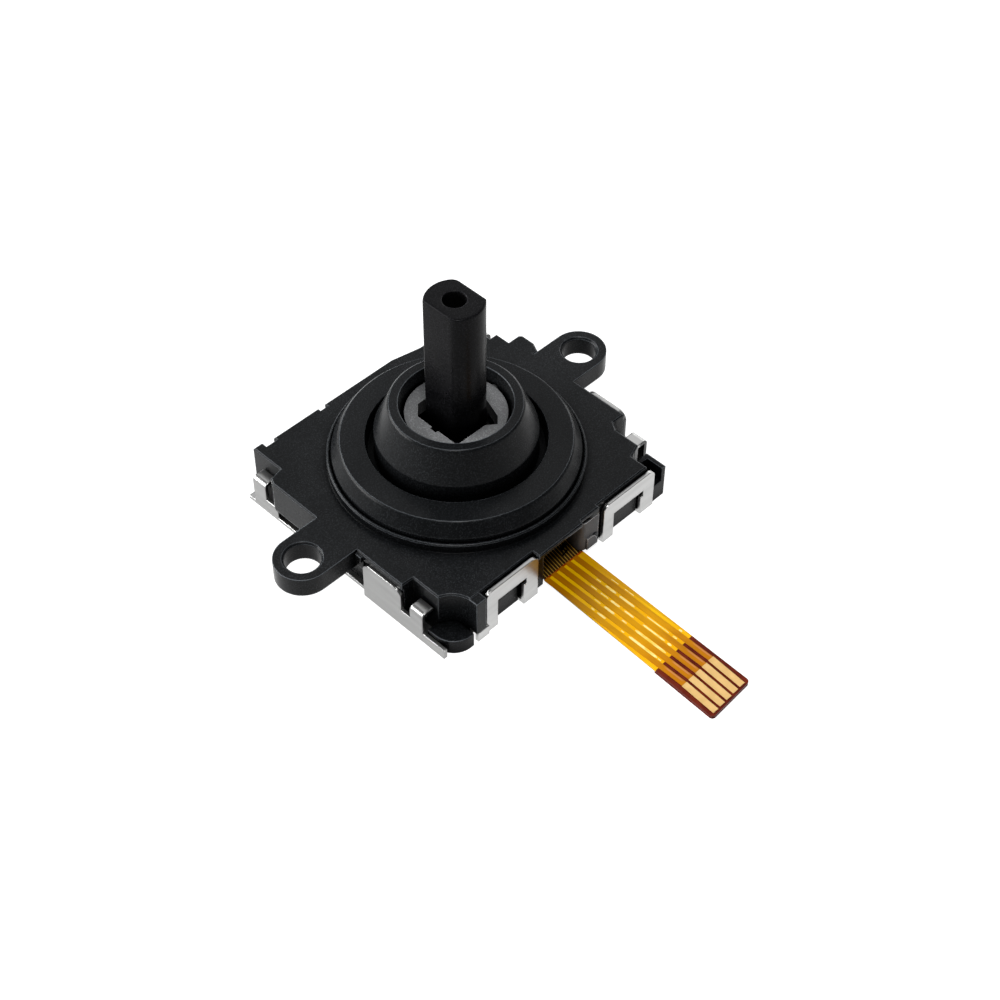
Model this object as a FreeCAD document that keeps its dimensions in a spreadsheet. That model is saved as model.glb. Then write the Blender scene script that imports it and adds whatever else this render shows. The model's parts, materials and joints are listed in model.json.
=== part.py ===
import FreeCAD, Part
import math
import os
import re

import Sketcher

# Miniature two-axis thumbstick module with a push switch and a flexible-circuit tail.
# Millimetres. +Z runs up the stick, -Y towards the tail, and the origin lies under the
# stick's axis on the underside of the steel base plate.

os.makedirs("parts", exist_ok=True)
doc = FreeCAD.newDocument("AnalogStick")

# Driving dimensions
SIZES = {
    # housing: the right side stands further out than the left by right_out
    "plate_half_x": 7.7, "plate_half_y": 7.3, "right_out": 0.25, "body_top": 2.8, "plate_thick": 0.55,
    "wall_thick": 1.25, "wall_thick_y": 1.0, "fit_gap": 0.05, "over": 1, "top_chamfer": 0.07,
    "corner_in": 1.65, "corner_step": 1.15, "tab_recess": 0.7, "tab_recess_right": 1.08,
    "tab_recess_rear": 0.9, "room_chamfer": 1.1, "cut_r": 1.36, "cut_in": 0.3, "cut_in_y": 0.1,
    "clip_inset_a": 0.25, "clip_inset_b": 0.15, "clip_side": 0.3, "lip_out": 0.2, "lip_start": 1.9,
    "lip_end": 1.1, "lip_thick": 0.22, "hook_in": 3.35, "hook_out": 0.58, "hook_bevel": 0.3,
    "rear_slope_start": 2.4, "rear_slope_end": 4.1, "rear_drop": 0.35, "nick_x": 2.2, "nick_wide": 0.45,
    "nick_deep": 0.18, "bump_high": 0.15, "rear_wall_low": 0.9, "under_ear": 0.4,
    # ears
    "ear_reach": 9.82, "ear_left_y": 0.35, "ear_right_y": 0.96, "ear_round": 1.43, "ear_hole": 0.9,
    "ear_thick": 1.1, "ear_chamfer": 0.1,
    # stepped dome, measured inwards from its ring, and collar, measured outwards from the gimbal's bore
    "ring_r": 6.42, "ring_high": 0.5, "ring_wide": 0.14, "ring_chamfer": 0.07, "groove_wide": 0.11,
    "groove_floor": 0.2, "bevel_low": 0.7, "bevel_wide": 0.41, "disc_high": 1.45,
    "moat_draft": 0.05, "moat_floor": 0.5, "moat_wide": 0.37, "collar_cone": 2.0, "collar_lean": 0.74,
    "rim_z": 6.5, "rim_wide": 0.49, "bore_gap": 0.14, "bore_step": 0.15, "bore_low": 4.9,
    "well_gap": 0.4, "well_top": 4.6,
    "edge_chamfer": 0.09,
    # steel shield
    "steel": 0.2, "side_out": 0.12, "side_out_right": 0.22, "side_top": 2.4, "side_top_right": 2.7,
    "panel_round": 0.5, "tab_top": 1.92, "tab_long": 0.72, "bend_round": 0.28, "side_start": 1.6,
    "side_end": 4.2, "web_top": 1.08, "tab_start": 4.82, "tab_end": 5.65, "strip_end": 7.1,
    "strip_high": 0.6, "back_tab_low": 1.5, "back_tab_high": 0.6, "back_foot_low": 2.35,
    "back_foot_high": 0.88, "back_in": 0.12, "right_shift": 0.3, "plate_front": 0.41, "face_out": 0.1,
    "frame_a_side": 2.42, "frame_a_end": 1.85, "frame_a_top": 2.74, "frame_a_window": 1.8,
    "frame_b_start": 2.76, "frame_b_side": 1.28, "frame_b_top": 2.5, "frame_b_window": 1.57,
    "frame_leg": 0.72, "frame_right_leg": 0.94, "frame_round": 0.4, "nick_high": 0.4, "frame_nick": 0.17,
    "toe_wide": 0.67, "toe_high": 0.58, "toe_out": 0.1,
    # base moulding
    "base_thick": 0.3, "foot_side": 0.1, "foot_in": 1.45, "foot_in_y": 1.5, "foot_high": 0.85,
    "foot_round": 1.15, "foot_out": 0.2, "block_high": 1.98, "block_step": 1.1, "block_wall": 0.25,
    "block_start": 1.25, "block_end": 0.35, "block_rear": 1.25, "bridge": 0.9,
    # flexible circuit
    "film": 0.1, "film_gap": 0.2, "film_chamfer": 1.0, "tail_end": 18.2,
    "tail_skew": 0.08, "tail_left": 1.12, "tail_right": 1.52, "tip_left": 1.64, "tip_right": 1.17,
    "ramp_start": 1.2, "ramp_stop": 0.1, "cheek_left": 1.38, "cheek_right": 1.62, "cheek_round": 0.45,
    "sill_high": 1.1, "sill_out": 0.06, "notch_deep": 1.1,
    "lead_pitch": 0.5, "lead_start": 1.05, "lead_drift": 0.1, "pad_drift": 0.12, "pad_wide": 0.34,
    "pad_long": 2.15, "pad_thick": 0.03, "pad_margin": 0.12, "trace_wide": 0.3, "stiff_long": 3.7,
    "stiff_thick": 0.12, "end_round": 0.2,
    # tilting parts
    "pivot_z": 5.45, "stem_r": 1.45, "stem_flat": 1.06, "stem_top": 13.0, "stem_chamfer": 0.14,
    "stem_low": 4.7, "cap_bore": 0.57, "cap_bore_deep": 4.0, "shaft_r": 0.75, "shaft_low": 2.0,
    "foot_disc_r": 0.9, "foot_disc_high": 0.3, "stem_round": 0.12,
    "gimbal_r": 2.52, "gimbal_half_high": 0.4, "window_half_x": 1.56, "window_half_y": 1.66,
    "window_round": 0.3, "window_point": 0.38,
    "trunnion": 0.3, "trunnion_long": 0.62, "pin_r": 0.22, "pin_square": 0.2, "press_travel": 0.25,
    "pin_fit": 0.02, "arm_in": 1.92, "arm_out": 2.42, "arm_half": 0.35, "link_side": 0.05,
    "yoke_in": 2.74, "yoke_thick": 0.31, "yoke_eye": 0.38, "yoke_half": 1.1, "yoke_arm_half": 0.42,
    "yoke_bar_low": 3.1, "yoke_bar_high": 0.5, "yoke_slot_half": 0.86, "yoke_slot_long": 1.62,
    "yoke_pin": 0.24, "yoke_pin_long": 0.3, "socket_fit": 0.03, "pocket_side": 0.3, "pocket_low": 0.2,
    # sensing sliders
    "drive_arm": 4.0, "drive_ball": 0.2, "ball_in": 0.08, "neck_half": 0.12, "link_low": 1.75,
    "link_top": 2.0, "link_reach": 4.1,
    "slider_near": 3.6, "slider_far": 5.6, "slider_half": 1.4, "slider_low": 0.78, "slider_top": 1.6,
    "slot_deep": 0.45, "slot_half": 0.26, "slot_end": 4.3, "track_half": 2.6, "track_wide": 0.45,
    "track_gap": 0.5, "track_first": 3.9, "track_thick": 0.03, "wiper": 0.08, "finger_long": 1.1,
    "finger_start": 0.4, "finger_side": 0.1, "wiper_half": 0.5, "wiper_over": 0.05, "touch_gap": 0.01,
    "rail": 0.45, "gate_half": 1.6,
    # return spring, seat and switch
    "seat_r": 1.85, "seat_top": 1.8, "seat_thick": 0.2, "nub_r": 0.55, "dome_r": 1.3, "dome_high": 0.26,
    "dome_sheet": 0.06, "dome_flat": 0.64, "dome_drop": 0.03, "spring_r": 1.5, "spring_wire": 0.09,
    "spring_turns": 3, "nub_gap": 0.04,
}

sheet = doc.addObject("Spreadsheet::Sheet", "Sizes")
for row, (alias, value) in enumerate(SIZES.items(), start=1):
    sheet.set(f"A{row}", alias)
    sheet.set(f"B{row}", str(value))
    sheet.setAlias(f"B{row}", alias)
doc.recompute()


# An alias of the sheet in an expression, and not a function's name
ALIAS = r"[a-z][a-z_]*(?![a-z_(])"


def size(text):
    """The value, in mm, of an expression over the sheet's cells."""
    terms = re.sub(ALIAS, lambda word: repr(float(sheet.get(word.group(0)))), str(text))
    total = doc.addObject("App::FeaturePython", "Reading")
    total.addProperty("App::PropertyFloat", "Value")
    total.setExpression("Value", terms)
    total.recompute()
    value = total.Value
    doc.removeObject(total.Name)
    return value


def bind(thing, prop, text):
    """Tie one property to the sheet."""
    thing.setExpression(prop, re.sub(ALIAS, lambda word: "Sizes." + word.group(0), str(text)))


def place(thing, x="0", y="0", z="0"):
    for axis, text in zip("xyz", (x, y, z)):
        bind(thing, f"Placement.Base.{axis}", text)
    return thing


def box(name, x0, x1, y0, y1, z0, z1):
    """Block between two opposite corners."""
    block = doc.addObject("Part::Box", name)
    bind(block, "Length", f"({x1}) - ({x0})")
    bind(block, "Width", f"({y1}) - ({y0})")
    bind(block, "Height", f"({z1}) - ({z0})")
    return place(block, x0, y0, z0)


def post(name, radius, z0, z1, x="0", y="0"):
    """Upright cylinder."""
    rod = doc.addObject("Part::Cylinder", name)
    bind(rod, "Radius", radius)
    bind(rod, "Height", f"({z1}) - ({z0})")
    return place(rod, x, y, z0)


def rod_x(name, radius, x0, x1, y, z):
    """Cylinder along +X."""
    rod = doc.addObject("Part::Cylinder", name)
    rod.Placement.Rotation = FreeCAD.Rotation(FreeCAD.Vector(0, 1, 0), 90)
    bind(rod, "Radius", radius)
    bind(rod, "Height", f"({x1}) - ({x0})")
    return place(rod, x0, y, z)


def rod_y(name, radius, y0, y1, x, z):
    """Cylinder along +Y."""
    rod = doc.addObject("Part::Cylinder", name)
    rod.Placement.Rotation = FreeCAD.Rotation(FreeCAD.Vector(1, 0, 0), -90)
    bind(rod, "Radius", radius)
    bind(rod, "Height", f"({y1}) - ({y0})")
    return place(rod, x, y0, z)


def fuse(name, *pieces):
    joined = doc.addObject("Part::MultiFuse", name)
    joined.Shapes = list(pieces)
    joined.Refine = True
    return joined


def cut(name, base, *tools):
    tool = tools[0] if len(tools) == 1 else fuse(name + "Tools", *tools)
    rest = doc.addObject("Part::Cut", name)
    rest.Base = base
    rest.Tool = tool
    rest.Refine = True
    return rest


def common(name, first, second):
    shared = doc.addObject("Part::Common", name)
    shared.Base = first
    shared.Tool = second
    return shared


def outline(name, corners, turn=None, x="0", y="0", z="0"):
    """Closed sketch through corners, each held by two dimensions from the sheet."""
    sketch = doc.addObject("Sketcher::SketchObject", name)
    if turn:
        sketch.Placement.Rotation = turn
    points = [FreeCAD.Vector(size(a), size(b), 0) for a, b in corners]
    count = len(points)
    for k in range(count):
        sketch.addGeometry(Part.LineSegment(points[k], points[(k + 1) % count]), False)
    for k in range(count):
        sketch.addConstraint(Sketcher.Constraint("Coincident", k, 2, (k + 1) % count, 1))
    for k, (across, along) in enumerate(corners):
        for kind, text, value in (("DistanceX", across, points[k].x), ("DistanceY", along, points[k].y)):
            if abs(value) < 1e-9:
                axis = -2 if kind == "DistanceX" else -1
                sketch.addConstraint(Sketcher.Constraint("PointOnObject", k, 1, axis))
                continue
            index = sketch.addConstraint(Sketcher.Constraint(kind, -1, 1, k, 1, value))
            bind(sketch, f"Constraints[{index}]", text)
    return place(sketch, x, y, z)


def slab_x(name, corners, x0, x1):
    """Prism along +X on an outline given as (y, z)."""
    turn = FreeCAD.Rotation(FreeCAD.Vector(0, 1, 0), FreeCAD.Vector(0, 0, 1), FreeCAD.Vector(1, 0, 0), "ZXY")
    sketch = outline(name + "Outline", corners, turn, x=x0)
    body = doc.addObject("Part::Extrusion", name)
    body.Base = sketch
    body.DirMode = "Custom"
    body.Dir = FreeCAD.Vector(1, 0, 0)
    body.Solid = True
    bind(body, "LengthFwd", f"({x1}) - ({x0})")
    return body


def prism(name, corners, z0, z1):
    """Upright prism on an outline given as (x, y)."""
    sketch = outline(name + "Outline", corners, z=z0)
    body = doc.addObject("Part::Extrusion", name)
    body.Base = sketch
    body.DirMode = "Custom"
    body.Dir = FreeCAD.Vector(0, 0, 1)
    body.Solid = True
    bind(body, "LengthFwd", f"({z1}) - ({z0})")
    return body


def turned(name, corners, angle=360):
    """Solid of revolution about Z on an outline given as (radius, height)."""
    sketch = outline(name + "Outline", corners, FreeCAD.Rotation(FreeCAD.Vector(1, 0, 0), 90))
    body = doc.addObject("Part::Revolution", name)
    body.Source = sketch
    body.Axis = FreeCAD.Vector(0, 0, 1)
    body.Base = FreeCAD.Vector(0, 0, 0)
    body.Angle = angle
    body.Solid = True
    return body


def dressed(kind, name, base, reach, pick):
    """Fillet or chamfer on the edges whose middle point passes the test."""
    doc.recompute()
    chosen = []
    for index, edge in enumerate(base.Shape.Edges, start=1):
        middle = edge.valueAt((edge.FirstParameter + edge.LastParameter) / 2)
        if pick(middle, edge):
            chosen.append((index, size(reach), size(reach)))
    soft = doc.addObject(kind, name)
    soft.Base = base
    soft.Edges = chosen
    return soft


def rounded(name, base, radius, pick):
    return dressed("Part::Fillet", name, base, radius, pick)


def chamfered(name, base, wide, pick):
    return dressed("Part::Chamfer", name, base, wide, pick)


def near(value, text, slack=0.01):
    return abs(value - size(text)) < slack


def upright(edge):
    ends = [vertex.Point for vertex in edge.Vertexes]
    return len(ends) == 2 and abs(ends[0].x - ends[1].x) + abs(ends[0].y - ends[1].y) < 1e-6


def group(name, pieces):
    """Separate solids that share one node."""
    bundle = doc.addObject("Part::Compound", name)
    bundle.Links = list(pieces)
    return bundle


# Levels and faces that several pieces share
ROOM_X = "(plate_half_x - wall_thick)"
ROOM_Y = "(plate_half_y - wall_thick_y)"
RIGHT = "(plate_half_x + right_out)"
FRONT_A = "(plate_half_y - clip_inset_a)"
FRONT_B = "(plate_half_y - clip_inset_b)"
FACE_Y = "(plate_half_y + face_out)"
BASE_TOP = "(steel + base_thick)"
FILM_TOP = "(steel + base_thick + film)"
CEILING = "(body_top - plate_thick)"
SEAT_LOW = "(seat_top - seat_thick)"
SIDE_LEFT = "(plate_half_x + side_out)"
SIDE_RIGHT = "(plate_half_x + right_out + side_out_right)"
FOOT_X = "(plate_half_x - foot_in)"
FOOT_Y = "(plate_half_y - foot_in_y)"
BORE = "(gimbal_r + bore_gap)"
RIM_IN = "(gimbal_r + bore_gap + bore_step)"
FILM_X = "(plate_half_x - wall_thick - film_gap)"
FILM_Y = "(plate_half_y - wall_thick_y - film_gap)"
A_START = "(plate_half_x - frame_a_side)"
B_END = "(plate_half_x - frame_b_side)"
RAMP_IN = "(plate_half_y - ramp_start)"
RAMP_OUT = "(plate_half_y - ramp_stop)"
HOOK_Y = "(plate_half_y - hook_in)"
BACK_START = "(plate_half_y - back_tab_low)"
BACK_END = "(plate_half_y - back_tab_high)"
BACK_FOOT = "(plate_half_y - back_foot_low)"
CLIPS = (("A", f"-{A_START}", "-frame_a_end", "frame_a_top", "frame_a_window"),
         ("B", "frame_b_start", B_END, "frame_b_top", "frame_b_window"))


def clipped(half_x, half_y, chamfer, less="0"):
    """Corners of a rectangle with its four corners cut off, grown inwards by less."""
    x, y, c = f"({half_x} - {less})", f"({half_y} - {less})", chamfer
    return [(f"-{x}", f"-{y} + {c}"), (f"-{x} + {c}", f"-{y}"), (f"{x} - {c}", f"-{y}"), (x, f"-{y} + {c}"),
            (x, f"{y} - {c}"), (f"{x} - {c}", y), (f"-{x} + {c}", y), (f"-{x}", f"{y} - {c}")]


def plate_outline():
    """Plate seen from above: recesses for the clips and tabs, lip over the tail, nicks and hook."""
    left, right, low, high = "-plate_half_x", RIGHT, "-plate_half_y", "plate_half_y"
    ear_top = "(ear_right_y + ear_round)"
    corner = "(plate_half_x - corner_in)"
    return [
        (f"{left} + tab_recess", f"-{FRONT_A}"), ("-lip_start", f"-{FRONT_A}"),
        ("-lip_start", f"{low} - lip_out"), ("lip_end", f"{low} - lip_out"),
        ("lip_end + lip_out / 2", low), ("frame_b_start - clip_side", low),
        ("frame_b_start - clip_side", f"-{FRONT_B}"), (corner, f"-{FRONT_B}"),
        (corner, f"{low} + corner_step"),
        (f"{right} - tab_recess_right", f"{low} + corner_step + hook_bevel"),
        (f"{right} - tab_recess_right", f"-side_end - hook_bevel / 2"),
        (f"{right} - tab_recess_right + hook_bevel", "-side_end + right_shift"),
        (right, "-side_end + right_shift"),
        (right, ear_top),
        (f"{right} + hook_out - hook_bevel", ear_top), (f"{right} + hook_out", f"{ear_top} + hook_bevel * 2"),
        (f"{right} + hook_out", f"{HOOK_Y} - hook_bevel / 2"),
        (f"{right} + hook_out - hook_bevel / 2", f"{HOOK_Y}"),
        (f"{right} - hook_bevel", f"{HOOK_Y}"), (f"{right} - hook_bevel", f"{HOOK_Y} + hook_bevel * 3"),
        (f"{right} - tab_recess_right + hook_bevel", f"{HOOK_Y} + hook_bevel * 3"),
        (f"{right} - tab_recess_right + hook_bevel", f"{high} - corner_step / 2"),
        (f"{corner} + hook_bevel", f"{high} - rear_drop"), ("rear_slope_end", f"{high} - rear_drop"),
        ("rear_slope_start", high), ("-nick_x", high), ("-nick_x", f"{high} - nick_deep"),
        ("-nick_x - nick_wide", f"{high} - nick_deep"), ("-nick_x - nick_wide", high),
        (f"-{corner} + nick_wide", high), (f"-{corner} + nick_wide", f"{high} - nick_deep"),
        (f"-{corner} - nick_deep", f"{high} - nick_deep"), (f"-{corner} - nick_deep", f"{high} + bump_high"),
        (f"{left} + tab_recess_rear", f"{high} + bump_high"),
        (f"{left} + tab_recess_rear", f"{BACK_START} - rear_drop"),
        (f"{left} + nick_deep", f"{BACK_FOOT} + rear_drop"), (left, f"{BACK_FOOT}"),
        (left, "-side_end"), (f"{left} + tab_recess", "-side_end - fit_gap")]


def make_dome():
    """Rings, bevel, flat disc, moat and collar, turned about the stick's axis."""
    groove_r = "(ring_r - ring_wide)"
    bevel_r = f"({groove_r} - groove_wide)"
    disc_r = f"({bevel_r} - bevel_wide)"
    rim_r = f"({RIM_IN} + rim_wide)"
    collar_r = f"({rim_r} + collar_lean)"
    moat_r = f"({collar_r} + moat_wide + moat_draft)"
    ring_z, disc_z = "(body_top + ring_high)", "(body_top + disc_high)"
    return turned("Dome", [
        ("over", CEILING), ("ring_r", CEILING), ("ring_r", f"{ring_z} - ring_chamfer"),
        ("ring_r - ring_chamfer", ring_z), (groove_r, ring_z), (groove_r, "body_top + groove_floor"),
        (bevel_r, "body_top + groove_floor"), (bevel_r, "body_top + bevel_low"),
        (f"{disc_r} + edge_chamfer / 2", f"{disc_z} - edge_chamfer"),
        (f"{disc_r} - edge_chamfer / 2", disc_z),
        (f"{moat_r} + edge_chamfer / 2", disc_z), (moat_r, f"{disc_z} - edge_chamfer / 2"),
        (f"{moat_r} - moat_draft", "body_top + moat_floor"), (collar_r, "body_top + moat_floor"),
        (collar_r, "body_top + collar_cone"), (f"{rim_r} + edge_chamfer / 2", "rim_z - edge_chamfer"),
        (f"{rim_r} - edge_chamfer / 2", "rim_z"), ("over", "rim_z")])


def make_bore():
    """Stepped hole through the collar, with the well for the tilting parts below it."""
    well_r = "(yoke_in + yoke_thick + well_gap)"
    return turned("Bore", [
        ("0", "steel"), (well_r, "steel"), (well_r, "well_top"), (BORE, "bore_low"),
        (BORE, "pivot_z + gimbal_half_high"), (RIM_IN, "rim_z"), (RIM_IN, "rim_z + over"),
        ("0", "rim_z + over")])


def make_ears():
    """Two lugs with round holes, and the cutters for the holes with a small lead-in at the top."""
    lugs, holes = [], []
    low = "body_top - ear_thick"
    for side, sign, ear_y in (("Left", "-", "ear_left_y"), ("Right", "", "ear_right_y")):
        reach = f"{sign}ear_reach"
        inner = f"{sign}(plate_half_x - over)"
        x0, x1 = (reach, inner) if sign else (inner, reach)
        lugs.append(box(f"Arm{side}", x0, x1, f"{ear_y} - ear_round", f"{ear_y} + ear_round", low,
            "body_top"))
        lugs.append(post(f"Eye{side}", "ear_round", low, "body_top", reach, ear_y))
        holes.append(post(f"Hole{side}", "ear_hole", f"{low} - over", "body_top + over", reach, ear_y))
        lead = doc.addObject("Part::Cone", f"Lead{side}")
        bind(lead, "Radius1", "ear_hole")
        bind(lead, "Radius2", "ear_hole + ear_chamfer")
        bind(lead, "Height", "ear_chamfer")
        holes.append(place(lead, reach, ear_y, "body_top - ear_chamfer"))
    return lugs, holes


def make_sockets():
    """Holes for the gimbal's trunnions, and pockets and holes for the yoke's eyes."""
    reach_x = "(gimbal_r + trunnion_long + fit_gap)"
    pocket_y = "(yoke_in + yoke_thick + fit_gap)"
    reach_y = "(yoke_in + yoke_thick + yoke_pin_long + fit_gap)"
    return [
        rod_x("SocketX", "trunnion + socket_fit", f"-{reach_x}", reach_x, "0", "pivot_z"),
        box("PocketY", "-yoke_eye - pocket_side", "yoke_eye + pocket_side", f"-{pocket_y}", pocket_y,
            "well_top - pocket_low", "pivot_z + yoke_eye + socket_fit"),
        rod_y("SocketY", "yoke_pin + socket_fit", f"-{reach_y}", reach_y, "0", "pivot_z")]


def make_housing():
    """Black moulding: stepped dome and collar on a recessed plate with two ears and walls."""
    body = prism("Body", plate_outline(), "steel", "body_top")
    scoop = post("CornerScoop", "cut_r", "0", "body_top + over", "-plate_half_x + cut_in",
        "-plate_half_y + cut_in_y")
    open_body = cut("BodyOpen", body, scoop)
    soft_body = chamfered("BodySoft", open_body, "top_chamfer",
                          lambda middle, edge: near(middle.z,
                          "body_top") and edge.Length > size("nick_deep") / 2)
    lugs, holes = make_ears()
    post_x = "(plate_half_x - corner_in)"
    extras = [
        box("CornerPost", f"-{post_x}", f"-{A_START} - clip_side / 2", f"-{FACE_Y} - lip_out / 2",
        f"-{FRONT_A} + over",
            "toe_high + fit_gap", "body_top - fit_gap"),
        box("SkirtA", f"-{A_START} + frame_leg + fit_gap", "-frame_a_end - frame_right_leg - fit_gap",
            f"-{FRONT_A}", "-plate_half_y + plate_front - fit_gap", "fit_gap", "steel + fit_gap"),
        box("SkirtB", "frame_b_start + frame_leg + clip_side / 2", f"{B_END} - frame_right_leg - fit_gap",
            f"-{FRONT_B}", "-plate_half_y + plate_front - fit_gap", "steel / 2", "steel + fit_gap"),
        box("EarRib", f"-{SIDE_LEFT} - fit_gap", "-plate_half_x + nick_deep", "-side_start + fit_gap",
            "ear_left_y - ear_round - fit_gap", "side_top - fit_gap", "body_top - ear_chamfer")]
    block = fuse("HousingBlock", soft_body, make_dome(), *lugs, *extras)
    room = prism("Room", clipped(ROOM_X, ROOM_Y, "room_chamfer"), "steel - fit_gap", CEILING)
    notch_in = "(plate_half_y - notch_deep)"
    tools = [
        make_bore(), room, *make_sockets(), *holes,
        box("PanelRebate", f"-{SIDE_LEFT} - over", f"-{SIDE_LEFT} + steel + fit_gap / 2",
        "-side_end - clip_side",
            "-side_start + fit_gap", "0", "side_top + fit_gap / 2"),
        box("UnderEar", f"-{SIDE_LEFT} - over", "-plate_half_x + under_ear", "-side_start + fit_gap",
            "ear_left_y + ear_round", "0", "body_top - ear_thick"),
        box("RearUnder", f"-{SIDE_LEFT} - over", f"-{ROOM_X} - fit_gap", "ear_left_y + ear_round - fit_gap",
            "plate_half_y + over", "0", "rear_wall_low"),
        box("HookUnder", f"{RIGHT} - hook_bevel * 2", f"{RIGHT} + over", "ear_right_y + ear_round + fit_gap",
            f"{BACK_FOOT} + over", "0", CEILING),
        box("LipUnder", "-lip_start", "frame_b_start - clip_side", f"-{FACE_Y} - over", f"-{notch_in}", "0",
            "body_top - lip_thick")]
    # room for the base's corner feet and for the bridges that carry them
    for name, x0, x1, y0, y1, high in (
            ("FrontLeft", f"-{SIDE_LEFT} - over", f"-{FOOT_X} + fit_gap", f"-{FACE_Y} - over",
             f"-{FOOT_Y} + fit_gap", "foot_high"),
            ("RearRight", f"{FOOT_X} - fit_gap", f"{RIGHT} + over", f"{FOOT_Y} - fit_gap",
            "plate_half_y + over",
             "foot_high"),
            ("FrontRight", "plate_half_x - block_start - fit_gap", f"{RIGHT} + over", f"-{FACE_Y} - over",
             "-plate_half_y + block_rear + fit_gap", "body_top")):
        tools.append(box(f"Room{name}", x0, x1, y0, y1, "0", f"{high} + fit_gap"))
    for name, *spans in bridges("fit_gap"):
        tools.append(box(f"RoomBridge{name}", *spans, "0", f"{BASE_TOP} + fit_gap"))
    shell = cut("HousingShell", block, *tools)
    # rails that guide the two sliders
    rails = []
    for number, low in enumerate(("slider_near - fit_gap - rail", "slider_far + fit_gap")):
        rails.append(box(f"RailX{number}", "-track_half", "track_half", low, f"{low} + rail", "slider_low",
            CEILING))
        rails.append(box(f"RailY{number}", low, f"{low} + rail", "-track_half", "track_half", "slider_low",
            CEILING))
    gate_x = box("GateX", "-gate_half", "gate_half", "slider_near - over", "slider_near", "0", "body_top")
    gate_y = box("GateY", "slider_near - over", "slider_near", "-gate_half", "gate_half", "0", "body_top")
    guides = cut("Guides", fuse("Rails", *rails), gate_x, gate_y)
    # cheeks on both sides of the tail, the wall behind its ramp, and the low sill on the right one
    lip_low = "body_top - lip_thick + fit_gap"
    right_cheek = box("RightCheek", "cheek_right", "frame_b_start - clip_side", "-plate_half_y", f"-{ROOM_Y}",
                      "lip_thick + fit_gap * 2", lip_low)
    cheek = rounded("RightCheekSoft", right_cheek, "cheek_round",
                    lambda middle, edge: upright(edge) and near(middle.x, "cheek_right") and near(middle.y,
                    "-plate_half_y"))
    sill = box("Sill", "cheek_right + lip_out", "frame_b_start - clip_side - sill_out",
        "-plate_half_y - sill_out",
               "-plate_half_y + lip_out", "lip_thick + fit_gap * 2", "sill_high")
    sill_soft = rounded("SillSoft", sill, "lip_out", lambda middle, edge: near(middle.z, "sill_high")
                        and near(middle.x, "frame_b_start - clip_side - sill_out"))
    beside_clip = "-frame_a_end + fit_gap"
    left_cheek = prism("LeftCheek", [
        ("-lip_start", f"-{FRONT_A}"), (beside_clip, f"-{FRONT_A}"), (beside_clip, "-plate_half_y"),
        ("-cheek_left", "-plate_half_y"), ("-cheek_left", f"-{ROOM_Y}"), ("-lip_start", f"-{ROOM_Y}")],
        "lip_thick", lip_low)
    back = box("NotchBack", "-lip_start", "frame_b_start - clip_side", f"-{notch_in}",
               f"-{notch_in} + fit_gap * 5", FILM_TOP + " + fit_gap", lip_low)
    return fuse("housing", shell, guides, cheek, sill_soft, left_cheek, back)


def bridges(gap):
    """Three short bridges of the base floor that carry its corner feet."""
    rows = []
    for name, sx, sy in (("FrontLeft", "-", "-"), ("FrontRight", "", "-"), ("RearRight", "", "")):
        x0, x1 = f"({ROOM_X} - bridge)", f"({ROOM_X} + fit_gap * 5)"
        y0, y1 = f"({ROOM_Y} - bridge)", f"({ROOM_Y} + fit_gap * 5)"
        x_span = (f"-{x1} - {gap}", f"-{x0} + {gap}") if sx else (f"{x0} - {gap}", f"{x1} + {gap}")
        y_span = (f"-{y1} - {gap}", f"-{y0} + {gap}") if sy else (f"{y0} - {gap}", f"{y1} + {gap}")
        rows.append((name, *x_span, *y_span))
    return rows


def make_base():
    """Black base moulding under the film, with corner feet that fill the shield's corners."""
    floor = prism("BaseFloor", clipped(ROOM_X, ROOM_Y, "room_chamfer", "fit_gap"), "steel", BASE_TOP)
    pieces = [floor]
    foot_block = box("FootFrontBlock", "-plate_half_x + foot_side", f"-{FOOT_X}", "-plate_half_y - foot_out",
                     f"-{FOOT_Y}", "0", "foot_high")
    pieces.append(rounded("FootFront", foot_block, "foot_round",
                          lambda middle, edge: upright(edge) and near(middle.x, "-plate_half_x + foot_side")
                          and near(middle.y, "-plate_half_y - foot_out")))
    rear_block = box("FootRearBlock", FOOT_X, "plate_half_x - foot_side", FOOT_Y, "plate_half_y - foot_side",
                     "0", "foot_high")
    pieces.append(rounded("FootRear", rear_block, "foot_round",
                          lambda middle, edge: upright(edge) and near(middle.x, "plate_half_x - foot_side")
                          and near(middle.y, "plate_half_y - foot_side")))
    x0, x1 = "plate_half_x - block_start", "plate_half_x - block_end"
    y0, y1 = "-plate_half_y", "-plate_half_y + block_rear"
    block = box("CornerBlock", x0, x1, y0, y1, "0", "block_high")
    pocket = box("CornerPocket", f"{x0} - over", f"{x1} - block_wall", f"{y0} - over", f"{y1} - block_wall",
                 "block_step", "block_high + over")
    pieces.append(cut("CornerBlockOpen", block, pocket))
    for name, *spans in bridges("0"):
        pieces.append(box(f"Bridge{name}", *spans, "steel", BASE_TOP))
    ramp = slab_x("Ramp", [
        ("-plate_half_y - over", BASE_TOP), ("-plate_half_y - over", "steel - over"),
        (f"-{RAMP_OUT}", "steel - over"),
        (f"-{RAMP_OUT}", "stiff_thick"), (f"-{RAMP_IN}", BASE_TOP)], "-lip_start", "cheek_right + lip_out")
    return cut("base_frame", fuse("BaseWhole", *pieces), ramp)


def side_spans(side, outer):
    """X spans of one side's upright sheet, at the front and, on the left set in a little, at the rear."""
    if side == "Right":
        return (f"{outer} - steel", outer), (f"{outer} - steel", outer)
    return (f"-{outer}", f"-{outer} + steel"), (f"-{outer} + back_in * 2", f"-{outer} + back_in * 2 + steel")


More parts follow.
